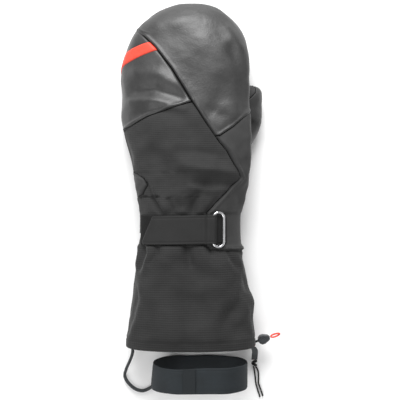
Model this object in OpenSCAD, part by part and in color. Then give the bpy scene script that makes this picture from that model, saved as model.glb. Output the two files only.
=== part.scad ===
// Ski mitten for the left hand, lying palm down, back of the hand up.
// +X points to the thumb side, +Y to the fingertips, +Z up from the table.
// Every fabric piece is a patch on one body surface, addressed by an angle
// round the section and a distance along the hand, at a depth below the skin.

/* [Body] */
// Distance from the wrist line to the fingertip
finger_reach = 197; // [160:1:230]
// Distance from the wrist line to the gauntlet hem
hem_reach = 147; // [110:1:180]
// Width across the knuckles
hand_w = 129; // [100:1:150]
// Thickness at the palm
hand_h = 56; // [44:1:70]
// Width at the wrist
wrist_w = 100; // [80:1:120]
// Thickness at the wrist
wrist_h = 48; // [38:1:60]
// Width at the gauntlet hem
cuff_w = 130; // [100:1:160]
// Thickness at the gauntlet hem
cuff_h = 58; // [44:1:76]

/* [Layers] */
// Shell leather and fabric thickness
shell_t = 1.2; // [0.8:0.1:2]
// Space between the shell and the waterproof insert
shell_clear = 2.4; // [1.2:0.1:2.4]
// Waterproof insert thickness
insert_t = 0.4; // [0.2:0.1:1]
// Insulation thickness round the hand
insul_t = 5; // [3:0.5:8]
// Insulation thickness round the thumb
thumb_insul_t = 2.4; // [1.5:0.1:4]
// Lining thickness
lining_t = 0.9; // [0.5:0.1:2]
// Clearance between neighbouring layers
layer_gap = 0.35; // [0.3:0.05:0.8]
// Clearance at a seam between two shell pieces
seam_gap = 0.8; // [0.4:0.1:1.6]

/* [Thumb] */
// Distance from the wrist line to the thumb tip
thumb_reach = 116; // [100:1:130]
// Thumb width
thumb_w = 32; // [28:1:40]
// Thumb thickness
thumb_h = 28; // [24:1:34]

/* [Wrist strap] */
// Strap width
strap_w = 28; // [20:1:36]
// Strap thickness
strap_t = 1.4; // [1:0.1:2.5]
// Metal loop wire diameter
ring_wire = 2.6; // [2:0.1:4]
// Metal loop outside width
ring_w = 13.4; // [11:0.1:18]
// Space between the strap's edge and the loop's end
ring_play = 1.6; // [0.8:0.1:3]

/* [Hem and drawcord] */
// Height of the hem channel
hem_band = 8; // [6:0.5:16]
// Elastic drawcord diameter
cord_d = 2.5; // [2:0.1:3.5]
// Cord lock width
lock_w = 9.4; // [8:0.1:14]
// Cord lock height without its button
lock_h = 8.6; // [8:0.1:12]
// Button diameter
button_d = 5; // [4:0.1:7]
// Button stroke
button_stroke = 1.4; // [0.8:0.1:2]
// Clearance round the button
button_clear = 0.15; // [0.1:0.05:0.4]

/* [Leash] */
// Leash band width across
band_w = 98; // [80:1:120]
// Leash band height
band_h = 60; // [50:1:80]
// Leash webbing width
band_len = 25; // [18:1:40]
// Leash webbing thickness
band_t = 1.8; // [1.2:0.1:3]
// Leash tape width
tape_w = 4; // [3:0.1:6]
// Leash tape thickness
tape_t = 1.4; // [1:0.1:2]

/* [Hidden] */
$fn = 48;

// Body surface -------------------------------------------------------------
dome_start = finger_reach - 77;
dome_len = finger_reach - dome_start;
scale_h = hand_w / 129;
scale_wr = wrist_w / 100;
scale_c = cuff_w / 130;
hem_y = -hem_reach;

// Stations along the hand: position, centre, half width and thickness.
stations = [
    [hem_y, -9.5, 65 * scale_c, cuff_h],
    [hem_y * 0.82, -9.6, 62.6 * scale_c, cuff_h - 1],
    [hem_y * 0.61, -9.5, 58.5 * scale_c, cuff_h - 3],
    [hem_y * 0.42, -10, 54 * scale_wr, wrist_h + 3],
    [-50, -10, 52 * scale_wr, wrist_h],
    [-34, -10, 50.5 * scale_wr, wrist_h],
    [-10, -9.8, 50.5 * scale_wr, wrist_h],
    [2, -8.8, 52.5 * scale_wr, wrist_h + 3],
    [18, -8.2, 56 * scale_h, hand_h - 1.5],
    [36, -10, 59.5 * scale_h, hand_h],
    [54, -12, 61.5 * scale_h, hand_h],
    [80, -14.5, 64 * scale_h, hand_h - 1],
    [dome_start, -15.5, 64.5 * scale_h, hand_h - 5]
];

function mix(a, b, t) = a + (b - a) * t;
function clamp01(t) = max(0, min(1, t));
function smooth(t) = clamp01(t) * clamp01(t) * (3 - 2 * clamp01(t));
function sgn(v) = v < 0 ? -1 : 1;
function spow(v, e) = sgn(v) * pow(abs(v), e);
function seg(list, y, i = 0) = (i >= len(list) - 2 || y < list[i + 1][0]) ? i : seg(list, y, i + 1);
function at(list, y, k) =
    let (i = seg(list, y), t = clamp01((y - list[i][0]) / (list[i + 1][0] - list[i][0])))
    mix(list[i][k], list[i + 1][k], t);
function blend_at(list, y, k) = (at(list, y - 6, k) + at(list, y, k) * 2 + at(list, y + 6, k)) / 4;

// A position along the hand runs straight up to the knuckles and then by arc over the fingertip dome.
function dome_of(q) = clamp01((q - dome_start) / dome_len) * 90;
function y_of(q, d) = q <= dome_start ? q : dome_start + (dome_len - d) * sin(dome_of(q));
function q_of(y) = y <= dome_start ? y : dome_start + dome_len * asin(min(1, (y - dome_start) / dome_len)) / 90;
function dome_w(q) = q <= dome_start ? 1 : pow(max(0, 1 - pow(sin(dome_of(q)), 2.25)), 1 / 2.25);
function dome_h(q) = q <= dome_start ? 1 : pow(max(0, 1 - pow(sin(dome_of(q)), 2.6)), 1 / 2.6);
function centre_x(q) =
    q <= dome_start ? blend_at(stations, q, 1) : mix(-15.5, -8, pow(sin(dome_of(q)), 1.5));
function half_w(q) = q <= dome_start ? blend_at(stations, q, 2) : blend_at(stations, dome_start, 2);
function high(q) =
    q <= dome_start ? blend_at(stations, q, 3) : blend_at(stations, dome_start, 3) - 6 * sin(dome_of(q));

// The thumb lies below the hand's edge, so there the section is bevelled and its edge is lifted.
function recess(q) = smooth((q - 4) / 28) * (1 - smooth((q - 126) / 40));
function edge_lift(q) = 12 * recess(q);
function corner_n(q, a) = cos(a) > 0 && sin(a) < 0 ? mix(2.7, 1.02, recess(q)) : sin(a) < 0 ? 2.7 : 2.25;
function mid_z(q) = high(q) * 0.46;
function flat_cut() = 1.6;

function body(q, a, d) =
    let (
        n = corner_n(q, a),
        c = spow(cos(a), 2 / n),
        s = spow(sin(a), 2 / n),
        w = max(0, (half_w(q) - d) * dome_w(q)),
        zm = mid_z(q),
        up = (high(q) - zm - d) * dome_h(q),
        down = (zm + flat_cut() - d) * dome_h(q),
        lift = mix(edge_lift(q), 0, 1 - dome_w(q)),
        z = s >= 0 ? zm + up * s + lift * c * (1 - 0.7 * s) : zm + down * s + lift * c * (1 - abs(s)),
        rest = d
    )
    [centre_x(q) + w * c, y_of(q, d), max(rest, z)];

// Angle on the upper side at which the surface passes through a plan position.
function top_angle(x, q) =
    let (r = max(-0.9995, min(0.9995, (x - centre_x(q)) / max(1, half_w(q) * dome_w(q)))))
    acos(spow(r, 2.25 / 2));

// Patch of cloth: f(u, v, k) gives a point, u across, v along, k 0 outside and 1 inside.
module cloth(f, nu, nv, wrap = false, pole = false, hole = function (i, j) false) {
    cols = wrap ? nu : nu + 1;
    rows = pole ? nv : nv + 1;
    layer = rows * cols + (pole ? 1 : 0);
    function idx(i, j, k) = k * layer + ((pole && j == nv) ? rows * cols : j * cols + (wrap ? (i + nu) % nu : i));
    pts = [
        for (k = [0, 1]) each concat(
            [for (j = [0:rows - 1]) for (i = [0:cols - 1]) f(i / nu, j / nv, k)],
            pole ? [f(0.5, 1, k)] : []
        )
    ];
    function open(i, j) =
        (j < 0 || j >= nv || (!wrap && (i < 0 || i >= nu))) ? true : hole(wrap ? (i + nu) % nu : i, j);
    faces = [
        for (j = [0:nv - 1]) for (i = [0:nu - 1]) if (!open(i, j)) each let (
            a = idx(i, j, 0), b = idx(i + 1, j, 0), c = idx(i + 1, j + 1, 0), d = idx(i, j + 1, 0),
            e = idx(i, j, 1), g = idx(i + 1, j, 1), h = idx(i + 1, j + 1, 1), m = idx(i, j + 1, 1),
            last = pole && j == nv - 1
        ) concat(
            last ? [[a, b, c], [e, h, g]] : [[a, b, c], [a, c, d], [e, h, g], [e, m, h]],
            open(i, j - 1) ? [[b, a, e], [b, e, g]] : [],
            (!last && open(i, j + 1)) ? [[d, c, h], [d, h, m]] : [],
            open(i - 1, j) ? [[a, d, m], [a, m, e]] : [],
            open(i + 1, j) ? [[c, b, g], [c, g, h]] : []
        )
    ];
    polyhedron(points = pts, faces = faces, convexity = 8);
}

// Patch between two seams that are given as angles for each position along the hand.
module panel(lo, hi, q0, q1, nu, nv, d0, d1, pole = false, hole = function (i, j) false) {
    cloth(
        function (u, v, k)
            let (q = mix(q0, q1, v))
            body(q, mix(lo(q), hi(q), u), k == 0 ? d0 : d1),
        nu, nv, pole = pole, hole = hole
    );
}

// Closed layer round the whole hand from the hem end to the fingertip.
module layer(q0, d0, d1, hole = function (i, j) false) {
    cloth(
        function (u, v, k) body(layer_q(q0, v), 360 * u, k == 0 ? d0 : d1),
        around, along, wrap = true, pole = true, hole = hole
    );
}

around = 28;
along = 26;
function layer_q(q0, v) =
    v < 0.5 ? mix(q0, 36, v * 2) : v < 0.62 ? mix(36, 66, (v - 0.5) / 0.12) : mix(66, finger_reach, (v - 0.62) / 0.38);

// Thumb hole in every hand layer: two columns by three rows of the grid.
hole_lo = 24;
hole_hi = 26;
function in_thumb_hole(i, j) = i >= 24 && i <= 25 && j >= 13 && j <= 15;

// Seams --------------------------------------------------------------------
half_gap = seam_gap / 2;
// Main diagonal from the little finger side to the thumb side, then back to the metal loop.
diagonal = [
    [-46, 6], [-44, 6], [-13, 7], [-3, 16], [6, 24], [17, 35], [22, 39.5], [36, 33], [47, 27],
    [56, 19], [66, 12], [79, 3], [96, -8], [127, -27], [150, -44], [169, -62], [180, -75]
];
// Side seam between the finger leather and the thumb side panel.
side_seam = [[60, 14], [61.5, 18], [71, 32], [87, 49.5], [90, 55]];
// Curved seam between the knuckle leather and the back fabric.
knuckle_seam = [[68, -80], [70, -74], [82, -50], [88, -31], [95, -8], [97, 0]];
// Ends of the accent strip, at the little finger side and at the diagonal seam.
strip_left = [126, 140];
strip_right = [148.3, 155];
// Gusset on the little finger side.
gusset_seam = [[2, -60], [3, -57], [15, -53], [21, -54.7], [28, -64.4], [30, -70]];

strip_q = [q_of(strip_left[0]), q_of(strip_left[1]), q_of(strip_right[0]), q_of(strip_right[1])];
function strip_edge(q, k, gap) =
    let (
        g = gap_angle(q) * gap,
        list = [[strip_q[k] - 3, side_hi], [strip_q[k], side_hi], [strip_q[k + 2], diag_left(strip_q[k + 2])]]
    )
    at(list, q + g * 0.5, 1);
side_lo = -12;
side_hi = 192;
function seam_angle(list, q, gap) = top_angle(at(list, y_of(q, 0), 1) + gap, q);
function diag_left(q) = seam_angle(diagonal, q, -half_gap);
function diag_right(q) = seam_angle(diagonal, q, half_gap);
function gap_angle(q) = half_gap / max(12, half_w(q) * dome_w(q) * 0.6) * 57.3;

wrist_y = -30;
cuff_top = -50;

// Shell panels -------------------------------------------------------------
module leather_finger_panel() {
    q_low = q_of(64);
    lo = function (q) y_of(q, 0) < 87 ? max(side_lo + 1, seam_angle(side_seam, q, -half_gap)) : finger_side(q);
    hi = function (q) y_of(q, 0) > 168 ? side_hi - gap_angle(q) : min(side_hi, diag_right(q));
    color([0.33, 0.33, 0.33])
        panel(lo, hi, q_low, finger_reach, 14, 30, 0, shell_t, pole = true);
}
function finger_side(q) = side_lo * smooth((y_of(q, 0) - 84) / 20) + gap_angle(q);

module leather_knuckle_panel() {
    q_low = q_of(71.5);
    q_top = strip_q[2] - 1.2;
    lo = function (q)
        y_of(q, 0) < 94.5 ? max(diag_left(q), seam_angle(knuckle_seam, q, -half_gap)) : diag_left(q);
    hi = function (q)
        q > strip_q[0] - half_gap ? min(side_hi - gap_angle(q), strip_edge(q + half_gap, 0, 1)) : side_hi - gap_angle(q);
    color([0.37, 0.37, 0.37])
        panel(lo, hi, q_low, q_top, 9, 18, 0, shell_t);
}

module leather_corner_panel() {
    q_low = strip_q[1] + 1.2;
    q_top = q_of(167);
    lo = function (q)
        q < strip_q[3] ? max(diag_left(q), strip_edge(q - half_gap, 1, 0)) : diag_left(q);
    hi = function (q) side_hi - gap_angle(q);
    color([0.34, 0.34, 0.34])
        panel(lo, hi, q_low, q_top, 4, 8, 0, shell_t);
}

module accent_strip() {
    color([0.94, 0.3, 0.23])
        cloth(
            function (u, v, k)
                let (
                    q0 = mix(strip_q[2], strip_q[0], u) + half_gap,
                    q1 = mix(strip_q[3], strip_q[1], u) - half_gap,
                    q = mix(q0, q1, v),
                    a0 = diag_left(mix(strip_q[2], strip_q[3], v)),
                    a1 = side_hi - gap_angle(q)
                )
                body(q, mix(a0, a1, u), k == 0 ? 0 : shell_t),
            10, 2
        );
}

module back_fabric_panel() {
    q_low = wrist_y;
    q_top = q_of(93);
    lo = function (q) diag_left(q);
    hi = function (q)
        y_of(q, 0) > 70 ? max(lo_safe(q), seam_angle(knuckle_seam, q, half_gap))
        : y_of(q, 0) > 28 ? side_hi - gap_angle(q)
        : y_of(q, 0) > 3 ? seam_angle(gusset_seam, q, half_gap)
        : side_hi - gap_angle(q);
    color([0.26, 0.26, 0.26])
        panel(lo, hi, q_low, q_top, 13, 30, 0, shell_t);
}
function lo_safe(q) = diag_left(q) + 1;

module thumb_side_panel() {
    q_low = cuff_top + half_gap;
    q_top = q_of(84.5);
    hi = function (q)
        y_of(q, 0) > 61.5 ? max(side_lo + 3, seam_angle(side_seam, q, half_gap)) : diag_right(q);
    lo = function (q) side_lo * (1 - smooth((y_of(q, 0) - 60) / 24)) - 14 * (1 - smooth((y_of(q, 0) + 30) / 30));
    color([0.29, 0.29, 0.29])
        panel(lo, hi, q_low, q_top, 8, 18, 0, shell_t);
}

module pinky_side_gusset() {
    lo = function (q) seam_angle(gusset_seam, q, -half_gap);
    hi = function (q) side_hi - gap_angle(q);
    color([0.3, 0.3, 0.3])
        panel(lo, hi, 3.8, 26, 3, 4, 0, shell_t);
}

module palm_panel() {
    lo = function (q) side_hi + gap_angle(q);
    hi = function (q) 360 + side_lo * (y_of(q, 0) > 84 ? smooth((y_of(q, 0) - 84) / 20) : 0) - gap_angle(q)
        - 28 * (1 - smooth((y_of(q, 0) - 60) / 24));
    color([0.2, 0.2, 0.2])
        cloth(
            function (u, v, k)
                let (q = v < 0.5 ? mix(wrist_y, 76, v * 2) : mix(76, finger_reach, (v - 0.5) * 2))
                body(q, mix(lo(q), hi(q), u), k == 0 ? 1.05 : 1.05 + shell_t * 0.9),
            12, 24, pole = true,
            hole = function (i, j) i >= 9 && j >= 6 && j <= 11
        );
}

module palm_reinforcement() {
    lo = function (q) 232;
    hi = function (q) 296;
    color([0.16, 0.16, 0.16])
        panel(lo, hi, -14, q_of(150), 9, 24, 0, 0.75);
}

module cuff_back_panel() {
    // Runs from the wrist gathers to the hem channel, tucked against the thumb side panel.
    hi = function (q) side_hi - gap_angle(q);
    lo = function (q) side_lo - 14 + gap_angle(q);
    color([0.22, 0.22, 0.22]) {
        panel(lo, hi, hem_y + hem_band + half_gap, cuff_top - half_gap, 16, 10, 0, shell_t);
        panel(function (q) diag_left(q), hi, cuff_top + 0.4 - half_gap, wrist_y - half_gap, 12, 3, 0, shell_t);
    }
}

module cuff_palm_panel() {
    lo = function (q) side_hi + gap_angle(q);
    hi = function (q) 360 + side_lo - 14 - gap_angle(q);
    color([0.21, 0.21, 0.21])
        panel(lo, hi, hem_y + hem_band + half_gap, wrist_y - half_gap, 14, 12, 0, shell_t);
}

// Sweeps a profile of depth and position right round the body.
module around_body(profile, steps) {
    n = len(profile);
    pts = [for (i = [0:steps - 1]) for (p = profile) body(p[1], 360 * i / steps, p[0])];
    faces = [
        for (i = [0:steps - 1]) for (j = [0:n - 1]) each let (
            a = i * n + j, b = i * n + (j + 1) % n,
            c = ((i + 1) % steps) * n + (j + 1) % n, d = ((i + 1) % steps) * n + j
        ) [[a, b, c], [a, c, d]]
    ];
    polyhedron(points = pts, faces = faces, convexity = 8);
}

hem_leg = 1;
cord_play = 0.2;
hem_inner = hem_leg + cord_d + 2 * cord_play;
cord_y = hem_y + hem_leg + cord_play + cord_d / 2;

module hem_channel() {
    color([0.2, 0.2, 0.2])
        around_body([
            [0, hem_y], [hem_inner + hem_leg, hem_y], [hem_inner + hem_leg, hem_y + hem_band],
            [hem_inner, hem_y + hem_band], [hem_inner, hem_y + hem_leg], [hem_leg, hem_y + hem_leg],
            [hem_leg, hem_y + hem_band], [0, hem_y + hem_band]
        ], 40);
}

module hem_drawcord() {
    color([0.05, 0.05, 0.05])
        around_body([
            for (i = [0:7]) [hem_leg + cord_play + cord_d / 2 - cord_d / 2 * cos(45 * i), cord_y - cord_d / 2 * sin(45 * i)]
        ], 40);
}

// Inner layers -------------------------------------------------------------
insert_d = shell_t + shell_clear;
elastic_d = insert_d - 0.75;
insul_d = insert_d + insert_t + layer_gap;
lining_d = insul_d + insul_t + layer_gap;
layer_y = hem_y + hem_band + 0.5;

module waterproof_insert() {
    color([0.75, 0.77, 0.8])
        layer(layer_y, insert_d, insert_d + insert_t, hole = function (i, j) in_thumb_hole(i, j));
}

module half_layer(col0, col1, d0, d1, holed) {
    n = col1 - col0;
    cut = seam_gap * 0.5;
    cloth(
        function (u, v, k)
            let (
                q = layer_q(layer_y, v),
                a0 = 360 * col0 / around + gap_angle(q),
                a1 = 360 * col1 / around - gap_angle(q),
                g = 360 * (col0 + u * n) / around
            )
            body(q, max(a0, min(a1, g)), k == 0 ? d0 : d1),
        n, along, pole = true,
        hole = function (i, j) holed && in_thumb_hole(i + col0, j)
    );
}

module insulation_back() {
    color([0.85, 0.85, 0.82])
        half_layer(0, 14, insul_d, insul_d + insul_t, false);
}

module insulation_palm() {
    color([0.82, 0.82, 0.79])
        half_layer(14, 28, insul_d, insul_d + insul_t, true);
}

module hand_lining() {
    color([0.3, 0.3, 0.33])
        layer(layer_y, lining_d, lining_d + lining_t, hole = function (i, j) in_thumb_hole(i, j));
}

module wrist_elastic() {
    // Elastic band stitched inside the insert space at the wrist.
    color([0.1, 0.1, 0.1])
        around_body([
            [elastic_d, -42], [elastic_d, -32], [elastic_d, -22], [elastic_d + 0.4, -22], [elastic_d + 0.4, -32], [elastic_d + 0.4, -42]
        ], 36);
}

module care_label() {
    // Blank label sewn inside the cuff on the lining.
    depth = lining_d + lining_t + 0.3;
    color([0.93, 0.93, 0.93])
        panel(function (q) 250, function (q) 286, -118, -88, 5, 3, depth, depth + 0.5);
}

// Thumb --------------------------------------------------------------------
thumb_x = 47;
thumb_z = thumb_h / 2;
thumb_dome = thumb_reach - 22;
base_q = 48;
base_a = -38;
base_rq = 27;
base_ra = 21;

function thumb_section(t, y, d) =
    let (
        k = clamp01((y - thumb_dome) / (22 - d)),
        r = pow(max(0, 1 - pow(k, 3)), 1 / 3),
        a = (thumb_w / 2 - d) * r,
        b = (thumb_h / 2 - d) * pow(max(0, 1 - pow(k, 2.6)), 1 / 2.6),
        dx = mix(-3, 0, smooth((y - 60) / 30)) + 4 * k * k
    )
    [thumb_x + dx + a * cos(t), y > thumb_reach - 0.01 ? thumb_reach - d : y, max(d, thumb_z + k + b * sin(t))];

// The base ring lies on the hand's own surface, a clearance outside it.
function thumb_base(t, d) =
    let (
        rq = base_rq - d,
        ra = base_ra - d * 0.8,
        q = base_q + rq * cos(t - 95),
        a = base_a - ra * sin(t - 95)
    )
    body(q, a, -0.8);

function thumb_point(t, v, d) =
    v < 0.45
    ? let (
        s = v / 0.45,
        e = smooth(s),
        b = thumb_base(t, d),
        c = thumb_section(t, 84 - 2 * cos(t), d),
        bulge = 5.5 * sin(180 * s) * clamp01(0.25 - sin(t - 115)),
        low = max(d, mix(b[2], c[2], e) - bulge)
    ) [mix(b[0], c[0], e) + bulge * 0.3, mix(b[1], c[1], s), low]
    : let (
        s = (v - 0.45) / 0.55,
        y = 84 - 2 * cos(t) * (1 - s) + (thumb_reach - d - 84) * sin(90 * s)
    )
    thumb_section(t, v > 0.999 ? thumb_reach : min(thumb_reach - d - 0.05, y), d);

module thumb_part(t0, t1, n, d0, d1) {
    cloth(
        function (u, v, k) thumb_point(mix(t0, t1, u), v, k == 0 ? d0 : d1),
        n, 16, pole = true
    );
}

module thumb_tube(n, d0, d1) {
    cloth(
        function (u, v, k) thumb_point(360 * u, v, k == 0 ? d0 : d1),
        n, 16, wrap = true, pole = true
    );
}

thumb_insul_d = insert_d;
thumb_lining_d = thumb_insul_d + thumb_insul_t + 2 * layer_gap;

module thumb_back_panel() {
    color([0.33, 0.33, 0.33])
        thumb_part(-20, 128, 7, 0, shell_t);
}

module thumb_palm_panel() {
    color([0.2, 0.2, 0.2])
        thumb_part(196, 338, 7, 0, shell_t);
}

module thumb_fourchette() {
    color([0.26, 0.26, 0.26])
        thumb_part(130, 194, 3, 0, shell_t);
}

module thumb_insulation() {
    color([0.83, 0.83, 0.8])
        thumb_tube(16, thumb_insul_d, thumb_insul_d + thumb_insul_t);
}

module thumb_lining() {
    color([0.3, 0.3, 0.33])
        thumb_tube(16, thumb_lining_d, thumb_lining_d + lining_t);
}

// Wrist strap --------------------------------------------------------------
strap_y = -29;
strap_hinge_x = 17;
strap_end_x = -58;
bar_x = 12.6;
patch_t = 0.6;
patch_lift = 0.45;
tape_lift = patch_lift + patch_t + 0.3;
strap_lift = tape_lift + patch_t + 0.1;
webbing_t = 1.2;
webbing_lift = 0.2;
ring_lift = webbing_lift + webbing_t + 0.3;
ring_rise = 0.6;
over_bar = ring_lift + ring_rise + ring_wire + 0.6;

// Point over the back of the hand at a plan position, lifted off the skin.
function over_skin(x, y, lift) =
    body(y, acos(spow((x - centre_x(y)) / (half_w(y) + lift), 2.25 / 2)), -lift);
function strap_rise(x) =
    let (hump = smooth((x - 3) / 6) * (1 - smooth((x - bar_x - 1.2) / 3.4)))
    mix(strap_lift, over_bar, hump) + (webbing_lift + webbing_t + 0.3 - strap_lift) * smooth((x - bar_x - 1.2) / 3.2);

module wrist_strap() {
    color([0.23, 0.23, 0.23])
        cloth(
            function (u, v, k)
                let (
                    w = mix(-0.5, 0.5, v),
                    x_end = strap_end_x + 10.5 * smooth((w + 0.25) / 0.7),
                    x = u < 0.3 ? mix(strap_hinge_x, 2, u / 0.3) : mix(2, x_end, (u - 0.3) / 0.7),
                    y = strap_y + w * strap_w + x * 0.02
                )
                over_skin(x, y, strap_rise(x) + (k == 0 ? strap_t : 0)),
            22, 5
        );
}

module strap_hook_tape() {
    color([0.08, 0.08, 0.08])
        cloth(
            function (u, v, k)
                let (y = strap_y + mix(-0.42, 0.2, v) * strap_w)
                over_skin(mix(-22, -44, u), y, tape_lift + (k == 0 ? patch_t : 0)),
            6, 3
        );
}

module loop_patch() {
    color([0.14, 0.14, 0.14])
        cloth(
            function (u, v, k)
                let (y = strap_y + mix(-0.5, 0.5, v) * strap_w)
                over_skin(mix(-18, -59, u), y, patch_lift + (k == 0 ? patch_t : 0)),
            9, 4
        );
}

module anchor_webbing() {
    color([0.05, 0.05, 0.05])
        cloth(
            function (u, v, k)
                let (y = strap_y + mix(-0.46, 0.46, v) * strap_w)
                over_skin(mix(26, 5, u), y, webbing_lift + (k == 0 ? webbing_t : 0)),
            6, 4
        );
}

ring_len = strap_w + 2 * ring_play + 2 * ring_wire;
ring_r = (ring_w - ring_wire) / 2;
ring_straight = ring_len - ring_w;
bar_right_x = bar_x + ring_w - ring_wire;
bar_left_p = over_skin(bar_x, strap_y, ring_lift + ring_wire / 2);
bar_right_p = over_skin(bar_right_x, strap_y, ring_lift + ring_wire / 2);
ring_tilt = atan2(bar_right_p[2] - bar_left_p[2], bar_right_p[0] - bar_left_p[0]);

module strap_loop() {
    mid = (bar_left_p + bar_right_p) / 2;
    color([0.8, 0.8, 0.82])
        translate([mid[0], strap_y, mid[2] + ring_rise])
            rotate([0, -ring_tilt, 0]) {
                for (side = [-1, 1]) {
                    translate([side * ring_r, ring_straight / 2, 0])
                        rotate([90, 0, 0])
                            cylinder(d = ring_wire, h = ring_straight);
                }
                for (end = [0, 1]) {
                    rotate([0, 0, end * 180])
                        translate([0, ring_straight / 2, 0])
                            rotate_extrude(angle = 180)
                                translate([ring_r, 0])
                                    circle(d = ring_wire);
                }
            }
}

// Drawcord hardware --------------------------------------------------------
lock_angle = 18;
lock_z = 22;
eye_p = body(hem_y + 3.5, -7, 0);
eye_x = eye_p[0] + 0.35;
eye_y = hem_y + 3.5;
eye_t = 0.9;
cord_start = eye_t + 2.2;
lock_bore = cord_d + 0.6;
lock_start = 3.8;
lock_len = 12.4;
lock_tip_r = 2.9;
cord_rel = lock_h / 2 + 0.5;
loop_start = lock_start + lock_len + 0.4;
loop_len = 11;

module at_eyelet() {
    translate([eye_x, eye_y, lock_z])
        rotate([0, 0, lock_angle])
            children();
}

module cord_eyelet() {
    color([0.12, 0.12, 0.12])
        translate([eye_x, eye_y, lock_z])
            rotate([0, 90, 0])
                difference() {
                    cylinder(d = 6.6, h = eye_t);
                    translate([0, 0, -1])
                        cylinder(d = lock_bore + 0.4, h = eye_t + 2);
                }
}

module pull_cord() {
    color([0.06, 0.06, 0.06])
        at_eyelet()
            translate([cord_start, 0, 0])
                rotate([0, 90, 0])
                    cylinder(d = cord_d, h = loop_start - 0.4 - cord_start);
}

module lock_outline() {
    translate([lock_w / 2, 0])
        circle(d = lock_w, $fn = 10);
    translate([lock_len - lock_tip_r, 0])
        circle(r = lock_tip_r, $fn = 10);
}

module cord_lock_body() {
    color([0.17, 0.18, 0.19])
        at_eyelet()
            translate([lock_start, 0, -cord_rel])
                difference() {
                    hull() {
                        translate([0, 0, 0.8])
                            linear_extrude(lock_h - 1.6)
                                lock_outline();
                        translate([0.6, 0, 0])
                            linear_extrude(lock_h)
                                scale([0.92, 0.84])
                                    lock_outline();
                    }
                    translate([lock_w / 2, 0, 1])
                        cylinder(d = button_d + 2 * button_clear, h = lock_h);
                    translate([-1, 0, cord_rel])
                        rotate([0, 90, 0])
                            cylinder(d = lock_bore, h = lock_len + 2);
                }
}

spring_h = 2.2;
module cord_lock_spring() {
    color([0.75, 0.75, 0.77])
        at_eyelet()
            translate([lock_start + lock_w / 2, 0, -cord_rel + 1])
                rotate_extrude()
                    translate([button_d / 2 - 0.9, 0])
                        square([0.5, spring_h - 0.1]);
}

module cord_lock_button() {
    slot_low = cord_rel - lock_bore / 2;
    slot_high = cord_rel + lock_bore / 2 + button_stroke;
    top = lock_h + button_stroke + 0.3;
    color([0.1, 0.1, 0.1])
        at_eyelet()
            translate([lock_start + lock_w / 2, 0, -cord_rel])
                difference() {
                    translate([0, 0, 1 + spring_h])
                        cylinder(d = button_d, h = max(top, slot_high + 0.8) - 1 - spring_h);
                    translate([-button_d, -lock_bore / 2, slot_low])
                        cube([2 * button_d, lock_bore, slot_high - slot_low]);
                }
}

loop_r = 2.6;
module pull_loop() {
    color([0.93, 0.31, 0.25])
        at_eyelet()
            translate([loop_start + loop_r, 0, -1.9])
                difference() {
                    union() {
                        cylinder(r = loop_r, h = 3.8);
                        translate([loop_len - 2 * loop_r, 0, 0])
                            cylinder(r = loop_r, h = 3.8);
                        translate([0, -loop_r, 0])
                            cube([loop_len - 2 * loop_r, 2 * loop_r, 3.8]);
                    }
                    translate([loop_len - 2 * loop_r, 0, -1])
                        cylinder(r = loop_r - 1.3, h = 6);
                }
}

// Webbing tab that hangs from the hem's corner down to the table.
tab_path = [[53.5, hem_y - 1.3, 25.5], [55.5, hem_y - 5, 22], [56, hem_y - 11, 14], [56.2, hem_y - 17, 5.2]];
module webbing_tab() {
    color([0.13, 0.13, 0.13])
        cloth(
            function (u, v, k)
                let (
                    i = min(2, floor(v * 3)),
                    p = mix(tab_path[i], tab_path[i + 1], v * 3 - i)
                )
                p + [mix(3.1, -3.1, u), k == 0 ? -0.7 : 0.7, k == 0 ? 1 : -1],
            2, 3
        );
}

knot_p = [56.2, hem_y - 22, 3.4];
module cord_knot() {
    color([0.04, 0.04, 0.04])
        translate(knot_p)
            rotate([90, 0, 0])
                rotate_extrude()
                    difference() {
                        translate([1.2, -3.4])
                            square([2.1, 6.8]);
                        translate([3.9, 4.4])
                            circle(r = 1.7);
                        translate([3.9, -4.4])
                            circle(r = 1.7);
                    }
}

// Tube along hand-placed points, with an oval section whose flat runs upright.
function lerp_path(p, s) =
    let (n = len(p) - 1, f = min(n - 0.0001, s * n), i = floor(f), t = f - i,
        a = p[max(0, i - 1)], b = p[i], c = p[i + 1], d = p[min(n, i + 2)])
    0.5 * (2 * b + (c - a) * t + (2 * a - 5 * b + 4 * c - d) * t * t + (3 * b - a - 3 * c + d) * t * t * t);
function unit(v) = v / norm(v);
module tube(path, rings, wide, high, sides) {
    frames = [
        for (i = [0:rings]) let (
            s = i / rings,
            p = lerp_path(path, s),
            dir = unit(lerp_path(path, min(1, s + 0.01)) - lerp_path(path, max(0, s - 0.01))),
            side = unit(cross(dir, [0, 0, 1])),
            up = cross(side, dir)
        ) [p, side, up]
    ];
    pts = [
        for (f = frames) for (j = [0:sides - 1])
            f[0] + f[1] * (wide / 2 * cos(360 * j / sides)) + f[2] * (high / 2 * sin(360 * j / sides))
    ];
    faces = concat(
        [[for (j = [sides - 1:-1:0]) j]],
        [for (i = [0:rings - 1]) for (j = [0:sides - 1]) each let (
            a = i * sides + j, b = i * sides + (j + 1) % sides,
            c = (i + 1) * sides + (j + 1) % sides, d = (i + 1) * sides + j
        ) [[a, b, c], [a, c, d]]],
        [[for (j = [0:sides - 1]) rings * sides + j]]
    );
    polyhedron(points = pts, faces = faces, convexity = 6);
}

tail_d = 1.6;
tail_a_path = [[55.6, -173, 1.8], [56.6, -178, 1], [57.4, -184, 1], [58, -190, 1], [59.6, -196, 1], [61.2, -201, 1], [62.4, -205, 1]];
tail_b_path = [[58, -173, 1.8], [60.4, -178, 1], [60.8, -184, 1], [60.8, -190, 1], [62.4, -195, 1], [64.2, -200, 1], [65.4, -204, 1]];

module drawcord_tail_a() {
    color([0.05, 0.05, 0.05])
        tube(tail_a_path, 12, tail_d, tail_d, 8);
}

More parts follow.
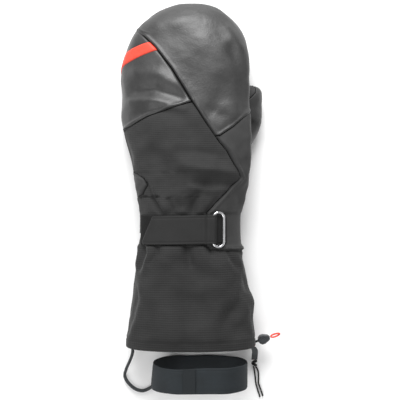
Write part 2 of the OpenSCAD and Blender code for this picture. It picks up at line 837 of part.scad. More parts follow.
module drawcord_tail_b() {
    color([0.05, 0.05, 0.05])
        tube(tail_b_path, 12, tail_d, tail_d, 8);
}

// Leash --------------------------------------------------------------------
band_x = -1.5;
band_top_y = -161.5;
band_bot_y = band_top_y - band_len;
leash_path = [
    [-68.4, -141, 26.5], [-67.6, -148, 26], [-68.6, -156, 20], [-72, -165, 13], [-76, -174, 6.5], [-78, -182, 3.2],
    [-75, -189, 2.5], [-68, -195.5, 2.5], [-60, -198, 2.5], [-53, -195.5, 3], [-47.5, -191, 5], [-43.8, -186.5, 6.6], [-42.9, -181, 7]
];

module leash_tape() {
    color([0.1, 0.1, 0.11])
        tube(leash_path, 40, tape_t, tape_w, 8);
}

module band_outline(grow) {
    r = band_h / 2;
    for (side = [-1, 1]) {
        translate([side * (band_w / 2 - r), r])
            circle(r = r + grow, $fn = 72);
    }
    translate([-(band_w / 2 - r), -grow])
        square([band_w - 2 * r, band_h + 2 * grow]);
}

module leash_band() {
    color([0.2, 0.22, 0.24])
        translate([band_x, band_top_y, 0])
            rotate([90, 0, 0])
                linear_extrude(band_len)
                    difference() {
                        band_outline(0);
                        band_outline(-band_t);
                    }
}

module leash_band_overlap() {
    color([0.16, 0.18, 0.2])
        translate([band_x - band_w / 2 + band_h / 2 + 4, band_top_y - 1, band_h + 0.05])
            rotate([90, 0, 0])
                linear_extrude(band_len - 2)
                    square([12, band_t * 0.8]);
}

leather_finger_panel();
leather_knuckle_panel();
leather_corner_panel();
accent_strip();
back_fabric_panel();
thumb_side_panel();
pinky_side_gusset();
palm_panel();
palm_reinforcement();
thumb_back_panel();
thumb_palm_panel();
thumb_fourchette();
cuff_back_panel();
cuff_palm_panel();
hem_channel();
hem_drawcord();
wrist_elastic();
waterproof_insert();
insulation_back();
insulation_palm();
thumb_insulation();
hand_lining();
thumb_lining();
care_label();
loop_patch();
anchor_webbing();
strap_loop();
wrist_strap();
strap_hook_tape();
cord_eyelet();
webbing_tab();
cord_knot();
drawcord_tail_a();
drawcord_tail_b();
pull_cord();
cord_lock_body();
cord_lock_spring();
cord_lock_button();
pull_loop();
leash_tape();
leash_band();
leash_band_overlap();
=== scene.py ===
"""Looks of the left-hand ski mitten: shell panels, cuff, wrist strap, drawcord and leash."""

import logging
import math
from dataclasses import dataclass, field
from enum import Enum
from typing import Callable, Sequence

import bmesh
import bpy
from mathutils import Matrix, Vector, noise
from mathutils.kdtree import KDTree


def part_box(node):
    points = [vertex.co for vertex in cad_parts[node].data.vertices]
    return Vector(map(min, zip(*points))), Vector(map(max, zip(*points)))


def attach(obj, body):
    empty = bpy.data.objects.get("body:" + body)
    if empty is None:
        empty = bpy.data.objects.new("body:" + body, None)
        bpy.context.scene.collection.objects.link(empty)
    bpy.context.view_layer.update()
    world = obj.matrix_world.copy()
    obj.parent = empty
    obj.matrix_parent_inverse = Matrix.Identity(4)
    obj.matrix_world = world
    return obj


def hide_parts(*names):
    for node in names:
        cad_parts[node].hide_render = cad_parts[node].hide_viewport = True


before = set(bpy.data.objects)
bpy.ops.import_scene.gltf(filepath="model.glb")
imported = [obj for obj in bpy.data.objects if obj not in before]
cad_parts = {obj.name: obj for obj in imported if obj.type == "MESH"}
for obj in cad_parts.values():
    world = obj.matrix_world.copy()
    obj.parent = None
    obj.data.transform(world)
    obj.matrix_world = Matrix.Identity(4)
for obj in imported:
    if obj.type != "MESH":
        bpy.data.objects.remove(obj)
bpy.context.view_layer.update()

MM = 0.001
LOG = logging.getLogger("mitten")
Place = Callable[[float, float], Sequence[float]]
Line = Sequence[Sequence[float]]


# Small sums ---------------------------------------------------------------
def clamp01(t: float) -> float:
    """Holds a number between 0 and 1."""
    return max(0.0, min(1.0, t))


def mix(a: float, b: float, t: float) -> float:
    """Goes from a to b as t goes from 0 to 1."""
    return a + (b - a) * t


def smooth(t: float) -> float:
    """Eases from 0 to 1."""
    t = clamp01(t)
    return t * t * (3 - 2 * t)


def spow(v: float, e: float) -> float:
    """Power that keeps the sign."""
    return math.copysign(abs(v) ** e, v)


def at(line: Line, y: float, k: int = 1) -> float:
    """Reads column k of a table of rows at y, between its rows.

    Args:
        line: rows whose first number rises.
        y: where to read.
        k: which column.

    Returns:
        The value, held at the table's ends.
    """
    for a, b in zip(line, line[1:]):
        if y < b[0]:
            return mix(a[k], b[k], clamp01((y - a[0]) / (b[0] - a[0])))
    return line[-1][k]


def from_line(line: Line, x: float, y: float) -> tuple[float, float, float]:
    """Distance of a plan point from a drawn line, its place along it and how far past an end it lies.

    Args:
        line: points (x, y) in mm.
        x: plan position.
        y: plan position.

    Returns:
        Signed distance, positive to the left of the line's direction, the share of its length, and
        the overshoot.
    """
    best, side, where, past = 1e9, 1.0, 0.0, 0.0
    spans = len(line) - 1
    for i in range(spans):
        (ax, ay), (bx, by) = line[i][:2], line[i + 1][:2]
        dx, dy = bx - ax, by - ay
        run = math.hypot(dx, dy)
        free = ((x - ax) * dx + (y - ay) * dy) / (run * run)
        t = clamp01(free)
        gap = math.hypot(x - ax - t * dx, y - ay - t * dy)
        if gap < best:
            best, where = gap, (i + t) / spans
            outer = (i == 0 and free < 0) or (i == spans - 1 and free > 1)
            past = abs(free - t) * run if outer else 0.0
            side = 1.0 if dx * (y - ay) - dy * (x - ax) > 0 else -1.0
    return best * side, where, past


def hexed(code: str) -> tuple[float, float, float, float]:
    """Turns an sRGB hex colour to linear values.

    Args:
        code: six hex digits.

    Returns:
        Red, green, blue and full alpha.
    """
    parts = [int(code[i : i + 2], 16) / 255 for i in (0, 2, 4)]
    line = [c / 12.92 if c <= 0.04045 else ((c + 0.055) / 1.055) ** 2.4 for c in parts]
    return (line[0], line[1], line[2], 1.0)


# Finishes -----------------------------------------------------------------
def add_node(
    tree: bpy.types.NodeTree, kind: str, settings: dict | None = None, links: dict | None = None
) -> bpy.types.Node:
    """Adds one node with its settings and links.

    Args:
        tree: the material's or world's nodes.
        kind: Blender's node type.
        settings: attribute or socket values.
        links: socket name or number to the socket that feeds it.

    Returns:
        The node.
    """
    node = tree.nodes.new(kind)
    for key, value in (settings or {}).items():
        if isinstance(key, str) and hasattr(node, key):
            setattr(node, key, value)
        else:
            node.inputs[key].default_value = value
    for key, socket in (links or {}).items():
        tree.links.new(socket, node.inputs[key])
    return node


class Texture(Enum):
    """What the surface of a finish is made of."""

    GRAIN = "leather grain"
    WEAVE = "woven threads"
    RIB = "ribbed webbing"
    HOOK = "hooks and loops"
    PILE = "fleece pile"
    PLAIN = "moulded or plated"


@dataclass(frozen=True)
class Finish:
    """One real material: its colours, its gloss and the size of its surface pattern.

    Pattern sizes are in mm on Object coordinates, and those under about 1 mm are drawn coarser so they show.
    """

    name: str
    dark: str
    light: str
    texture: Texture = Texture.PLAIN
    size: float = 1.2
    relief: float = 0.15
    rough: float = 0.6
    gloss: float = 0.5
    metallic: float = 0.0
    sheen: float = 0.0
    patch: float = 22.0
    follow: bool = False

    def material(self) -> bpy.types.Material:
        """Builds the material once and hands the same one out after that."""
        found = bpy.data.materials.get(self.name)
        if found:
            return found
        made = bpy.data.materials.new(self.name)
        made.use_nodes = True
        tree = made.node_tree
        tree.nodes.clear()
        coords = add_node(tree, "ShaderNodeTexCoord")
        source = coords.outputs["UV" if self.follow else "Object"]
        unit = 1.0 if self.follow else 1 / MM
        place = add_node(
            tree, "ShaderNodeMapping", {"Scale": (unit, unit, unit)}, {"Vector": source}
        ).outputs[0]
        broad = add_node(
            tree,
            "ShaderNodeTexNoise",
            {"Scale": 1 / self.patch, "Detail": 4.0, "Roughness": 0.55},
            {"Vector": place}
        ).outputs[0]
        fine = self.pattern(tree, place)
        spread = add_node(
            tree, "ShaderNodeMapRange", {"From Min": 0.3, "From Max": 0.7}, {"Value": broad}
        ).outputs[0]
        tint = add_node(
            tree,
            "ShaderNodeMix",
            {"data_type": "RGBA", 6: hexed(self.dark), 7: hexed(self.light)},
            {0: spread}
        ).outputs[2]
        shader = add_node(
            tree,
            "ShaderNodeBsdfPrincipled",
            {
                "Metallic": self.metallic,
                "Specular IOR Level": self.gloss,
                "Sheen Weight": self.sheen,
                "Sheen Roughness": 0.5,
            },
        )
        if fine is None:
            tree.links.new(tint, shader.inputs["Base Color"])
        else:
            shade = add_node(
                tree,
                "ShaderNodeMapRange",
                {"From Min": 0.0, "From Max": 1.0, "To Min": 0.72, "To Max": 1.12},
                {"Value": fine},
            ).outputs[0]
            toned = add_node(
                tree, "ShaderNodeVectorMath", {"operation": "SCALE"}, {0: tint, "Scale": shade}
            ).outputs[0]
            tree.links.new(toned, shader.inputs["Base Color"])
            bump = add_node(
                tree, "ShaderNodeBump", {"Strength": 0.6, "Distance": self.relief * MM}, {"Height": fine}
            ).outputs[0]
            tree.links.new(bump, shader.inputs["Normal"])
        worn = add_node(
            tree,
            "ShaderNodeMapRange",
            {
                "From Min": 0.25,
                "From Max": 0.75,
                "To Min": self.rough - 0.07,
                "To Max": min(1, self.rough + 0.07)
            },
            {"Value": broad},
        ).outputs[0]
        tree.links.new(worn, shader.inputs["Roughness"])
        add_node(tree, "ShaderNodeOutputMaterial", {}, {"Surface": shader.outputs[0]})
        return made

    def pattern(self, tree: bpy.types.NodeTree, place: bpy.types.NodeSocket) -> bpy.types.NodeSocket | None:
        """Makes the height of the fine surface pattern, 0 low to 1 high.

        Args:
            tree: the material's nodes.
            place: coordinates in mm.

        Returns:
            The height, or None on a plain surface.
        """
        if self.texture is Texture.GRAIN:
            cells = add_node(
                tree,
                "ShaderNodeTexVoronoi",
                {"feature": "SMOOTH_F1", "Scale": 1 / self.size, "Smoothness": 0.6},
                {"Vector": place}
            ).outputs["Distance"]
            pores = add_node(
                tree,
                "ShaderNodeTexNoise",
                {"Scale": 0.45 / self.size, "Detail": 6.0, "Roughness": 0.65},
                {"Vector": place}
            ).outputs[0]
            return add_node(
                tree, "ShaderNodeMath", {"operation": "MULTIPLY_ADD", 1: -0.45}, {0: cells, 2: pores}
            ).outputs[0]
        if self.texture in (Texture.WEAVE, Texture.RIB):
            ways = ("X", "Y") if self.texture is Texture.WEAVE else ("X",)
            waves = [
                add_node(
                    tree,
                    "ShaderNodeTexWave",
                    {
                        "wave_type": "BANDS",
                        "bands_direction": way,
                        "Scale": 0.314 / self.size,
                        "Distortion": 0.6,
                        "Detail": 1.0
                    },
                    {"Vector": place},
                ).outputs[1]
                for way in ways
            ]
            if len(waves) == 1:
                return waves[0]
            return add_node(
                tree, "ShaderNodeMath", {"operation": "MULTIPLY_ADD", 1: 0.5}, {0: waves[0], 2: waves[1]}
            ).outputs[0]
        if self.texture in (Texture.HOOK, Texture.PILE):
            return add_node(
                tree,
                "ShaderNodeTexNoise",
                {"Scale": 1 / self.size, "Detail": 5.0, "Roughness": 0.7},
                {"Vector": place}
            ).outputs[0]
        return None


# Soft sheep or goat leather with a satin coat: a broad soft shine over a fine pebble.
HAND_LEATHER = Finish(
    "goatskin_satin_black", "262626", "393939", Texture.GRAIN, 1.5, 0.22, 0.46, 0.5, patch=30
)
KNUCKLE_LEATHER = Finish(
    "goatskin_knuckle_black", "2e2e2e", "414141", Texture.GRAIN, 1.5, 0.2, 0.44, 0.5, patch=26
)
PALM_LEATHER = Finish("goatskin_palm_black", "202020", "2b2b2b", Texture.GRAIN, 1.3, 0.2, 0.55, 0.45)
# Polyester sewing thread of the bar tack.
RED_THREAD = Finish("bar_tack_thread_red", "7d1830", "9a2440", rough=0.7, gloss=0.3, patch=3)
# Coated leather strip in bright red, smoother than the hand leather.
RED_LEATHER = Finish("coated_leather_red", "ee4a39", "f5553f", Texture.GRAIN, 1.2, 0.05, 0.55, 0.35)
# Twill softshell: matt, the threads drawn at 1.1 mm so that they show.
BACK_TWILL = Finish(
    "nylon_twill_back_grey", "242424", "2f2f2f", Texture.WEAVE, 1.8, 0.22, 0.8, 0.3, sheen=0.05, patch=18
)
SIDE_STRETCH = Finish(
    "stretch_softshell_grey", "2b2b2b", "353535", Texture.WEAVE, 0.9, 0.06, 0.75, 0.35, sheen=0.05
)
CUFF_NYLON = Finish(
    "nylon_cuff_grey", "1c1c1c", "292929", Texture.WEAVE, 2.2, 0.3, 0.8, 0.3, sheen=0.05, patch=24
)
STRAP_NYLON = Finish("nylon_strap_grey", "1d1d1d", "262626", Texture.WEAVE, 1.0, 0.1, 0.75, 0.3)
# Narrow tape of the leash, a lighter grey than the black webbing.
LEASH_TAPE = Finish("nylon_tape_grey", "3a3d3f", "4a4d4f", Texture.RIB, 1.0, 0.15, 0.7, 0.35)
WEBBING = Finish("polyester_webbing_black", "101010", "191919", Texture.RIB, 1.4, 0.2, 0.8, 0.3, follow=True)
BAND_ELASTIC = Finish(
    "elastic_webbing_blue_grey", "161b1e", "20262a", Texture.WEAVE, 1.2, 0.12, 0.75, 0.35, follow=True
)
HOOK_TAPE = Finish("hook_tape_black", "141414", "262626", Texture.HOOK, 1.3, 0.5, 0.9, 0.2)
FLEECE = Finish("brushed_fleece_charcoal", "17171a", "222226", Texture.PILE, 2.2, 0.8, 0.95, 0.1, sheen=0.2)
WADDING = Finish("polyester_wadding_white", "c9c9c4", "dddcd6", Texture.PILE, 4.0, 1.0, 0.95, 0.1)
# Waterproof insert film: a real layer, but its charcoal colour is painted shade, chosen so that the seam gaps
# over it read dark.
FILM_SEAM_SHADE = Finish("waterproof_film_charcoal_seam_shade", "191a1c", "222326", Texture.PILE, 3.0, 0.1, 0.45, 0.5)
LABEL_SATIN = Finish("satin_label_white", "dededc", "ecebe8", Texture.WEAVE, 0.8, 0.05, 0.4, 0.5)
CORD_BRAID = Finish("braided_elastic_cord_black", "0c0c0c", "181818", Texture.RIB, 0.9, 0.3, 0.7, 0.35)
# Nickel-plated steel wire: mirror bright with faint handling haze.
NICKEL = Finish("nickel_plated_wire", "c4c4c6", "dedee0", rough=0.17, metallic=1.0, patch=5)
SPRING_STEEL = Finish("spring_steel", "b0b0b4", "c8c8cc", rough=0.3, metallic=1.0)
# Injection-moulded acetal with a fine spark finish.
ACETAL = Finish("acetal_moulded_charcoal", "282a2c", "33363a", Texture.PILE, 0.9, 0.05, 0.45, 0.5, patch=6)
RED_SOFT = Finish("soft_moulded_red", "e4402f", "ee4f3c", Texture.PILE, 0.9, 0.04, 0.45, 0.45, patch=6)


# Meshes -------------------------------------------------------------------
def finished(
    obj: bpy.types.Object, finish: Finish, body: str, nodes: Sequence[str]
) -> bpy.types.Object:
    """Dresses a piece and ties it to the frame.

    Args:
        obj: the piece, in place.
        finish: its material.
        body: the CAD body it rides on.
        nodes: CAD nodes it stands for.

    Returns:
        The same piece.
    """
    obj.data.materials.clear()
    obj.data.materials.append(finish.material())
    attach(obj, body)
    if nodes:
        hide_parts(*nodes)
    return obj


def keep_node(node: str, finish: Finish) -> None:
    """Gives a CAD node that stays in view its real finish."""
    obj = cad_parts[node]
    obj.data.materials.clear()
    obj.data.materials.append(finish.material())


def cloth_grid(
    name: str,
    nu: int,
    nv: int,
    place: Place,
    wide: float,
    long: float,
    wall: float = 0.0,
    flip: bool = True,
) -> bpy.types.Object:
    """Makes one piece of cloth from a grid whose points are laid on their place.

    Args:
        name: the piece's name.
        nu: faces across.
        nv: faces along.
        place: gives the point in mm for shares across and along.
        wide: rough width in mm, for the weave's coordinates.
        long: rough length in mm.
        wall: thickness in mm, laid inwards.
        flip: turns the faces over, for a grid that runs left-handed.

    Returns:
        The piece.
    """
    bm = bmesh.new()
    bmesh.ops.create_grid(bm, x_segments=nu, y_segments=nv, size=0.5, calc_uvs=True)
    layer = bm.loops.layers.uv.verify()
    for face in bm.faces:
        face.smooth = True
        for loop in face.loops:
            loop[layer].uv = ((loop.vert.co.x + 0.5) * wide, (loop.vert.co.y + 0.5) * long)
    for vert in bm.verts:
        vert.co = Vector(place(vert.co.x + 0.5, vert.co.y + 0.5)) * MM
    if flip:
        bmesh.ops.reverse_faces(bm, faces=bm.faces)
    bmesh.ops.remove_doubles(bm, verts=bm.verts, dist=2e-6)
    data = bpy.data.meshes.new(name)
    bm.to_mesh(data)
    bm.free()
    obj = bpy.data.objects.new(name, data)
    bpy.context.scene.collection.objects.link(obj)
    if wall:
        thick = obj.modifiers.new("wall", "SOLIDIFY")
        thick.thickness = wall * MM
        thick.offset = -1.0
        thick.use_rim = True
    return obj


# The hand's form ----------------------------------------------------------
@dataclass
class HandForm:
    """The one surface that every shell panel lies on, in mm, as in the part."""

    finger_reach: float = 197.0
    hem_y: float = -147.0
    dome: float = 120.0
    flat_cut: float = 1.6
    stations: Line = (
        (-147, -9.5, 65, 58), (-120.5, -9.6, 62.6, 57), (-89.7, -9.5, 58.5, 55), (-61.7, -10, 54, 51),
        (-50, -10, 52, 48), (-34, -10, 50.5, 48), (-10, -9.8, 50.5, 48), (2, -8.8, 52.5, 51),
        (18, -8.2, 56, 54.5), (36, -10, 59.5, 56), (54, -12, 61.5, 56), (80, -14.5, 64, 55),
        (120, -15.5, 64.5, 51),
    )
    swell: dict = field(default_factory=dict)

    def read(self, q: float, k: int) -> float:
        """Reads a station column smoothly at a position along the hand."""
        if q >= self.dome - 8:
            return at(self.stations, q, k)
        spots = ((-9, 1), (-4.5, 2), (0, 3), (4.5, 2), (9, 1))
        return sum(at(self.stations, q + step, k) * w for step, w in spots) / 9

    def tip(self, q: float) -> float:
        """Angle over the fingertip dome, 0 at its start and 90 degrees at the tip, in radians."""
        return clamp01((q - self.dome) / (self.finger_reach - self.dome)) * math.pi / 2

    def y(self, q: float, d: float = 0.0) -> float:
        """Plan position of a position along the hand."""
        if q <= self.dome:
            return q
        return self.dome + (self.finger_reach - self.dome - d) * math.sin(self.tip(q))

    def q(self, y: float) -> float:
        """Position along the hand of a plan position."""
        if y <= self.dome:
            return y
        span = self.finger_reach - self.dome
        return self.dome + span * math.asin(min(1.0, (y - self.dome) / span)) * 2 / math.pi

    def narrow(self, q: float, n: float) -> float:
        """How far the section has closed over the fingertips."""
        return max(0.0, 1 - math.sin(self.tip(q)) ** n) ** (1 / n)

    def centre(self, q: float) -> float:
        """Middle of the section."""
        return self.read(q, 1) if q <= self.dome else mix(-15.5, -8, math.sin(self.tip(q)) ** 1.5)

    def high(self, q: float) -> float:
        """Thickness of the section."""
        return self.read(q, 3) if q <= self.dome else self.stations[-1][3] - 6 * math.sin(self.tip(q))

    def recess(self, q: float) -> float:
        """How much the palm's thumb side is bevelled for the thumb."""
        return smooth((q - 4) / 28) * (1 - smooth((q - 126) / 40))

    def point(self, q: float, a: float, d: float) -> tuple[float, float, float]:
        """Point at a position, an angle in degrees and a depth below the skin.

        Args:
            q: position along the hand.
            a: angle round the section, 0 at the thumb side and 90 on the back.
            d: depth, negative outside.

        Returns:
            The point in mm.
        """
        r = math.radians(a)
        c, s = math.cos(r), math.sin(r)
        n = (mix(2.7, 1.02, self.recess(q)) if c > 0 else 2.7) if s < 0 else 2.25
        c, s = spow(c, 2 / n), spow(s, 2 / n)
        wide = self.narrow(q, 2.25)
        tall = self.narrow(q, 2.6)
        high = self.high(q)
        mid = high * 0.46
        lift = 12 * self.recess(q) * wide
        if s >= 0:
            z = mid + (high - mid - d) * tall * s + lift * c * (1 - 0.7 * s)
        else:
            z = mid + (mid + self.flat_cut - d) * tall * s + lift * c * (1 - abs(s))
        x = self.centre(q) + max(0.0, self.read(q, 2) - d) * wide * c
        return (x, self.y(q, d), max(0.05, d, z))

    def angle(self, x: float, q: float, lift: float = 0.0) -> float:
        """Angle on the back of the hand where the surface passes a plan position."""
        r = (x - self.centre(q)) / max(1.0, (self.read(q, 2) + lift) * self.narrow(q, 2.25))
        return math.degrees(math.acos(spow(max(-0.9995, min(0.9995, r)), 1.125)))

    def above(self, x: float, y: float, lift: float) -> tuple[float, float, float]:
        """Point over the back of the hand at a plan position, lifted off the skin."""
        return self.point(y, self.angle(x, y, lift), -lift)


SIDE_LO, SIDE_HI = -12.0, 192.0
# Seams as (y, x) rows, in mm.
DIAGONAL = (
    (-46, 6), (-44, 6), (-13, 7), (-3, 16), (6, 24), (17, 35), (22, 39.5), (36, 33), (47, 27), (56, 19),
    (66, 12),
    (79, 3), (96, -8), (127, -27), (150, -44), (169, -62), (180, -75),
)
SIDE_SEAM = ((60, 14), (61.5, 18), (71, 32), (87, 49.5), (90, 55))
KNUCKLE_SEAM = ((68, -80), (70, -74), (82, -50), (88, -31), (95, -8), (97, 0))
GUSSET_SEAM = ((2, -60), (3, -57), (15, -53), (21, -54.7), (28, -64.4), (30, -70))
STRAP_Y = -29.0
STRIP_LEFT, STRIP_RIGHT = (125.5, 140.0), (147.6, 155.6)


def flipped(line: Line) -> list[tuple[float, float]]:
    """Turns (y, x) rows to (x, y) points."""
    return [(row[1], row[0]) for row in line]


@dataclass
class Relief:
    """Seam grooves, folds and the gentle unevenness of stuffed leather and cloth, in mm out from the form."""

    form: HandForm
    # Each seam: its line, groove depth, groove half width, rise of the lapped edge and the side it is on.
    seams: tuple = (
        (flipped(DIAGONAL[2:16]), 0.6, 1.0, 0.8, -1),
        (flipped(SIDE_SEAM[1:4]), 0.5, 1.0, 0.7, 1),
        (flipped(KNUCKLE_SEAM[1:5]), 0.5, 1.2, 0.9, 1),
        (flipped(GUSSET_SEAM[1:5]), 0.7, 1.2, 0.6, 1),
        ([(6.3, -44), (11, -47.6), (24, -49.6), (42, -50.6)], 1.3, 1.3, 0.8, 1),
    )
    # Each fold: its line, height (negative is a crease) and half width.
    folds: tuple = (
        ([(-16, 33), (8, 29), (30, 27)], 2.8, 5.0), ([(-4, 17), (14, 15), (31, 15)], -3.0, 4.6),
        ([(-20, 47), (6, 45), (24, 42)], -1.8, 5.0), ([(-8, 12), (12, 9), (22, 11)], 1.6, 4.5),
        ([(-62, 108), (-44, 108), (-20, 100)], -3.2, 5.5), ([(-67, 97), (-42, 96), (-16, 88)], 2.4, 4.5),
        ([(-64, 84), (-40, 87), (-28, 86)], -1.2, 4.0), ([(-62, 124), (-40, 122), (-26, 114)], 2.0, 7.0),
        ([(-52, 16), (-48, 4), (-40, -8), (-36, -14)], -3.2, 3.4),
        ([(-44, 12), (-40, 0), (-34, -8)], 1.6, 3.4),
        ([(-27, -15), (-27, -8), (-30, 0)], -2.6, 2.6), ([(-17, -15), (-15, -7), (-18, 2)], 1.3, 3.0),
        ([(-7, -15), (-6, -5), (-2, 6)], -3.2, 3.6), ([(5, -15), (9, -8), (16, 0)], -1.6, 2.6),
        ([(-56, -44), (-54, -52), (-60, -68)], -3.6, 3.4), ([(-48, -44), (-48, -56), (-53, -70)], 1.6, 3.4),
        ([(-41, -44), (-41, -52), (-47, -62)], -3.0, 3.0), ([(-30, -46), (-30, -58)], 1.2, 4.0),
        ([(-12, -43), (-12, -51), (-9, -62)], -3.8, 4.2), ([(1, -45), (4, -56)], 1.3, 3.4),
        ([(9, -45), (11, -52)], -1.6, 2.4), ([(28, -52), (31, -58), (37, -66)], -2.4, 3.0),
        ([(40, -52), (43, -60)], -1.4, 2.6), ([(-32, -62), (-20, -70), (-10, -76)], 1.4, 6.0),
        ([(-56, -100), (-46, -116), (-40, -130)], -1.8, 9.0), ([(30, -124), (46, -108), (54, -92)], 1.8, 6.0),
        ([(26, -112), (40, -98), (50, -84)], -1.6, 6.0), ([(-14, -92), (8, -120)], -1.4, 9.0),
        ([(-28, -84), (0, -88), (18, -84)], 1.0, 8.0), ([(-36, -132), (0, -134), (28, -131)], 0.8, 6.0),
        ([(32, 150), (43, 122), (45, 92)], -2.2, 6.0), ([(28, 168), (38, 148), (41, 128)], 1.4, 6.0),
        ([(-40, 170), (-10, 178), (14, 176)], 1.2, 9.0), ([(0, 152), (14, 128), (14, 112)], 1.6, 16.0),
        ([(-20, 176), (0, 160), (20, 150)], 1.2, 12.0), ([(16, 84), (30, 76)], -1.6, 9.0),
        ([(22, 104), (36, 92)], -1.2, 8.0), ([(24, 56), (38, 40)], 1.2, 4.0),
        ([(44, 44), (46, 64), (47, 84)], 1.4, 3.5),
        ([(-30, 66), (-18, 40)], 1.0, 11.0), ([(-10, 74), (4, 56)], -1.2, 9.0),
        ([(-44, 60), (-40, 36)], -1.0, 9.0),
    )
    swell: float = 1.1
    sim: list = field(default_factory=list)

    def simulated(self, q: float, a: float) -> float:
        """Reads the simulated rise at a position and angle, between the simulation's points."""
        if not self.sim:
            return 0.0
        rows, columns = len(self.sim) - 1, len(self.sim[0]) - 1
        span = self.form.finger_reach - self.form.hem_y
        v = clamp01((q - self.form.hem_y) / span) * rows
        u = ((a + 90) % 360) / 360 * columns
        i, j = min(rows - 1, int(v)), min(columns - 1, int(u))
        low = mix(self.sim[i][j], self.sim[i][j + 1], u - j)
        return mix(low, mix(self.sim[i + 1][j], self.sim[i + 1][j + 1], u - j), v - i)

    def out(self, q: float, a: float) -> float:
        """Rise of the shell at a position and angle, in mm."""
        x, y, z = self.form.point(q, a, 0.0)
        p = Vector((x, y, z * 1.2))
        lump = noise.noise(p / 30) * 1.3 + noise.noise(p / 12 + Vector((7, 3, 1))) * 0.6
        lump += noise.noise(p / 5 + Vector((1, 9, 4))) * 0.16
        rise = lump * (0.6 if y > 40 else 0.95)
        up = smooth(math.sin(math.radians(a)) * 2.2 + 0.9)
        if up <= 0:
            return min(rise, 0.4) - 0.4
        softness = mix(1.25, 0.5, smooth((y - 60) / 50))
        rise += (self.swell + softness * self.simulated(q, a)) * up
        for line, deep, half, lap, lap_side in self.seams:
            gap, _, past = from_line(line, x, y)
            if abs(gap) > 16:
                continue
            away = gap * lap_side
            groove = -deep * math.exp(-((gap / half) ** 2) * (2.0 if away > 0 else 0.8))
            if away > 0:
                crown = lap * math.exp(-(((away - 2.0) / 1.4) ** 2))
            else:
                crown = -0.5 * math.exp(-abs(away) / 5)
            rise += (groove + crown) * up * math.exp(-((past / 2) ** 2))
        for line, tall, half in self.folds:
            gap, where, _ = from_line(line, x, y)
            if abs(gap) > 3 * half:
                continue
            ease = 0.45 + 0.55 * math.sin(math.pi * clamp01(0.15 + 0.7 * where))
            rise += tall * ease * math.exp(-((gap / half) ** 2)) * up
        pressed = 1 - smooth((abs(y - STRAP_Y) - 14.5) / 3.5)
        return mix(rise, min(rise, 0.25), pressed)


@dataclass
class ShellCloth:
    """Cloth simulation of the stuffed shell, held at its seams, strap and hem."""

    form: HandForm
    relief: Relief
    columns: int = 128
    rows: int = 150
    cap: float = 2.4
    frames: int = 20

    def place(self, u: float, v: float) -> tuple[float, float, float]:
        """Rest place of a point of the simulated shell."""
        return self.form.point(mix(self.form.hem_y, self.form.finger_reach, v), 360 * u - 90, 0.0)

    def held(self, u: float, v: float) -> float:
        """How firmly a point is held, 0 free to 1 fixed."""
        x, y, _ = self.place(u, v)
        if math.sin(math.radians(360 * u - 90)) < -0.15 or v > 0.985 or v < 0.02:
            return 1.0
        strap = 1 - smooth((abs(y - STRAP_Y) - 13) / 4)
        gaps = [abs(from_line(seam[0], x, y)[0]) for seam in self.relief.seams]
        return max(strap, 1 - smooth((min(gaps) - 1.5) / 4))

    def average(self, grid: Line, i: int, j: int) -> float:
        """Mean of a point of the grid and its eight neighbours."""
        rows = (max(0, i - 1), i, min(self.rows, i + 1))
        columns = (max(0, j - 1), j, min(self.columns, j + 1))
        return sum(grid[r][c] for r in rows for c in columns) / 9

    def run(self) -> None:
        """Runs the simulation and keeps how far each point rose along its normal."""
        sheet = cloth_grid("shell_simulation", self.columns, self.rows, self.place, 360, 344, flip=False)
        places = [
            self.place(j / self.columns, i / self.rows)
            for i in range(self.rows + 1)
            for j in range(self.columns + 1)
        ]
        tree = KDTree(len(sheet.data.vertices))
        for k, vert in enumerate(sheet.data.vertices):
            tree.insert(vert.co, k)
        tree.balance()
        near = [tree.find(Vector(p) * MM)[1] for p in places]
        group = sheet.vertex_groups.new(name="held")
        for k, index in enumerate(near):
            i, j = divmod(k, self.columns + 1)
            group.add([index], self.held(j / self.columns, i / self.rows), "REPLACE")
        cloth = sheet.modifiers.new("cloth", "CLOTH")
        settings = cloth.settings
        settings.quality = 6
        settings.mass = 0.2
        settings.tension_stiffness = settings.compression_stiffness = 10
        settings.bending_stiffness = 0.05
        settings.use_pressure = True
        settings.uniform_pressure_force = 4
        settings.vertex_group_mass = group.name
        settings.shrink_min = -0.035
        settings.effector_weights.gravity = 0
        cloth.collision_settings.use_collision = False
        scene = bpy.context.scene
        cloth.point_cache.frame_start, cloth.point_cache.frame_end = 1, self.frames
        for frame_number in range(1, self.frames + 1):
            scene.frame_set(frame_number)
        moved = sheet.evaluated_get(bpy.context.evaluated_depsgraph_get()).data
        rest = sheet.data.vertices
        rises = []
        for k, index in enumerate(near):
            shift = moved.vertices[index].co - rest[index].co
            out = (
                Vector(places[k]) * MM - Vector((self.form.centre(0) * MM, rest[index].co.y, 0.02))
            ).normalized()
            rises.append(max(-self.cap, min(self.cap, shift.dot(out) / MM)))
        width = self.columns + 1
        grid = [rises[i * width : (i + 1) * width] for i in range(self.rows + 1)]
        for _ in range(3):
            grid = [[self.average(grid, i, j) for j in range(width)] for i in range(self.rows + 1)]
        self.relief.sim = grid
        scene.frame_set(1)
        bpy.data.objects.remove(sheet)
        LOG.info("shell simulated, rise from %.1f to %.1f mm", min(rises), max(rises))


# Shell --------------------------------------------------------------------
@dataclass
class Panel:
    """One cut piece of the shell between two seams."""

    name: str
    q0: float
    q1: float
    lo: Callable[[float], float]
    hi: Callable[[float], float]
    finish: Finish
    slot: str
    nodes: tuple
    nu: int = 90
    nv: int = 110


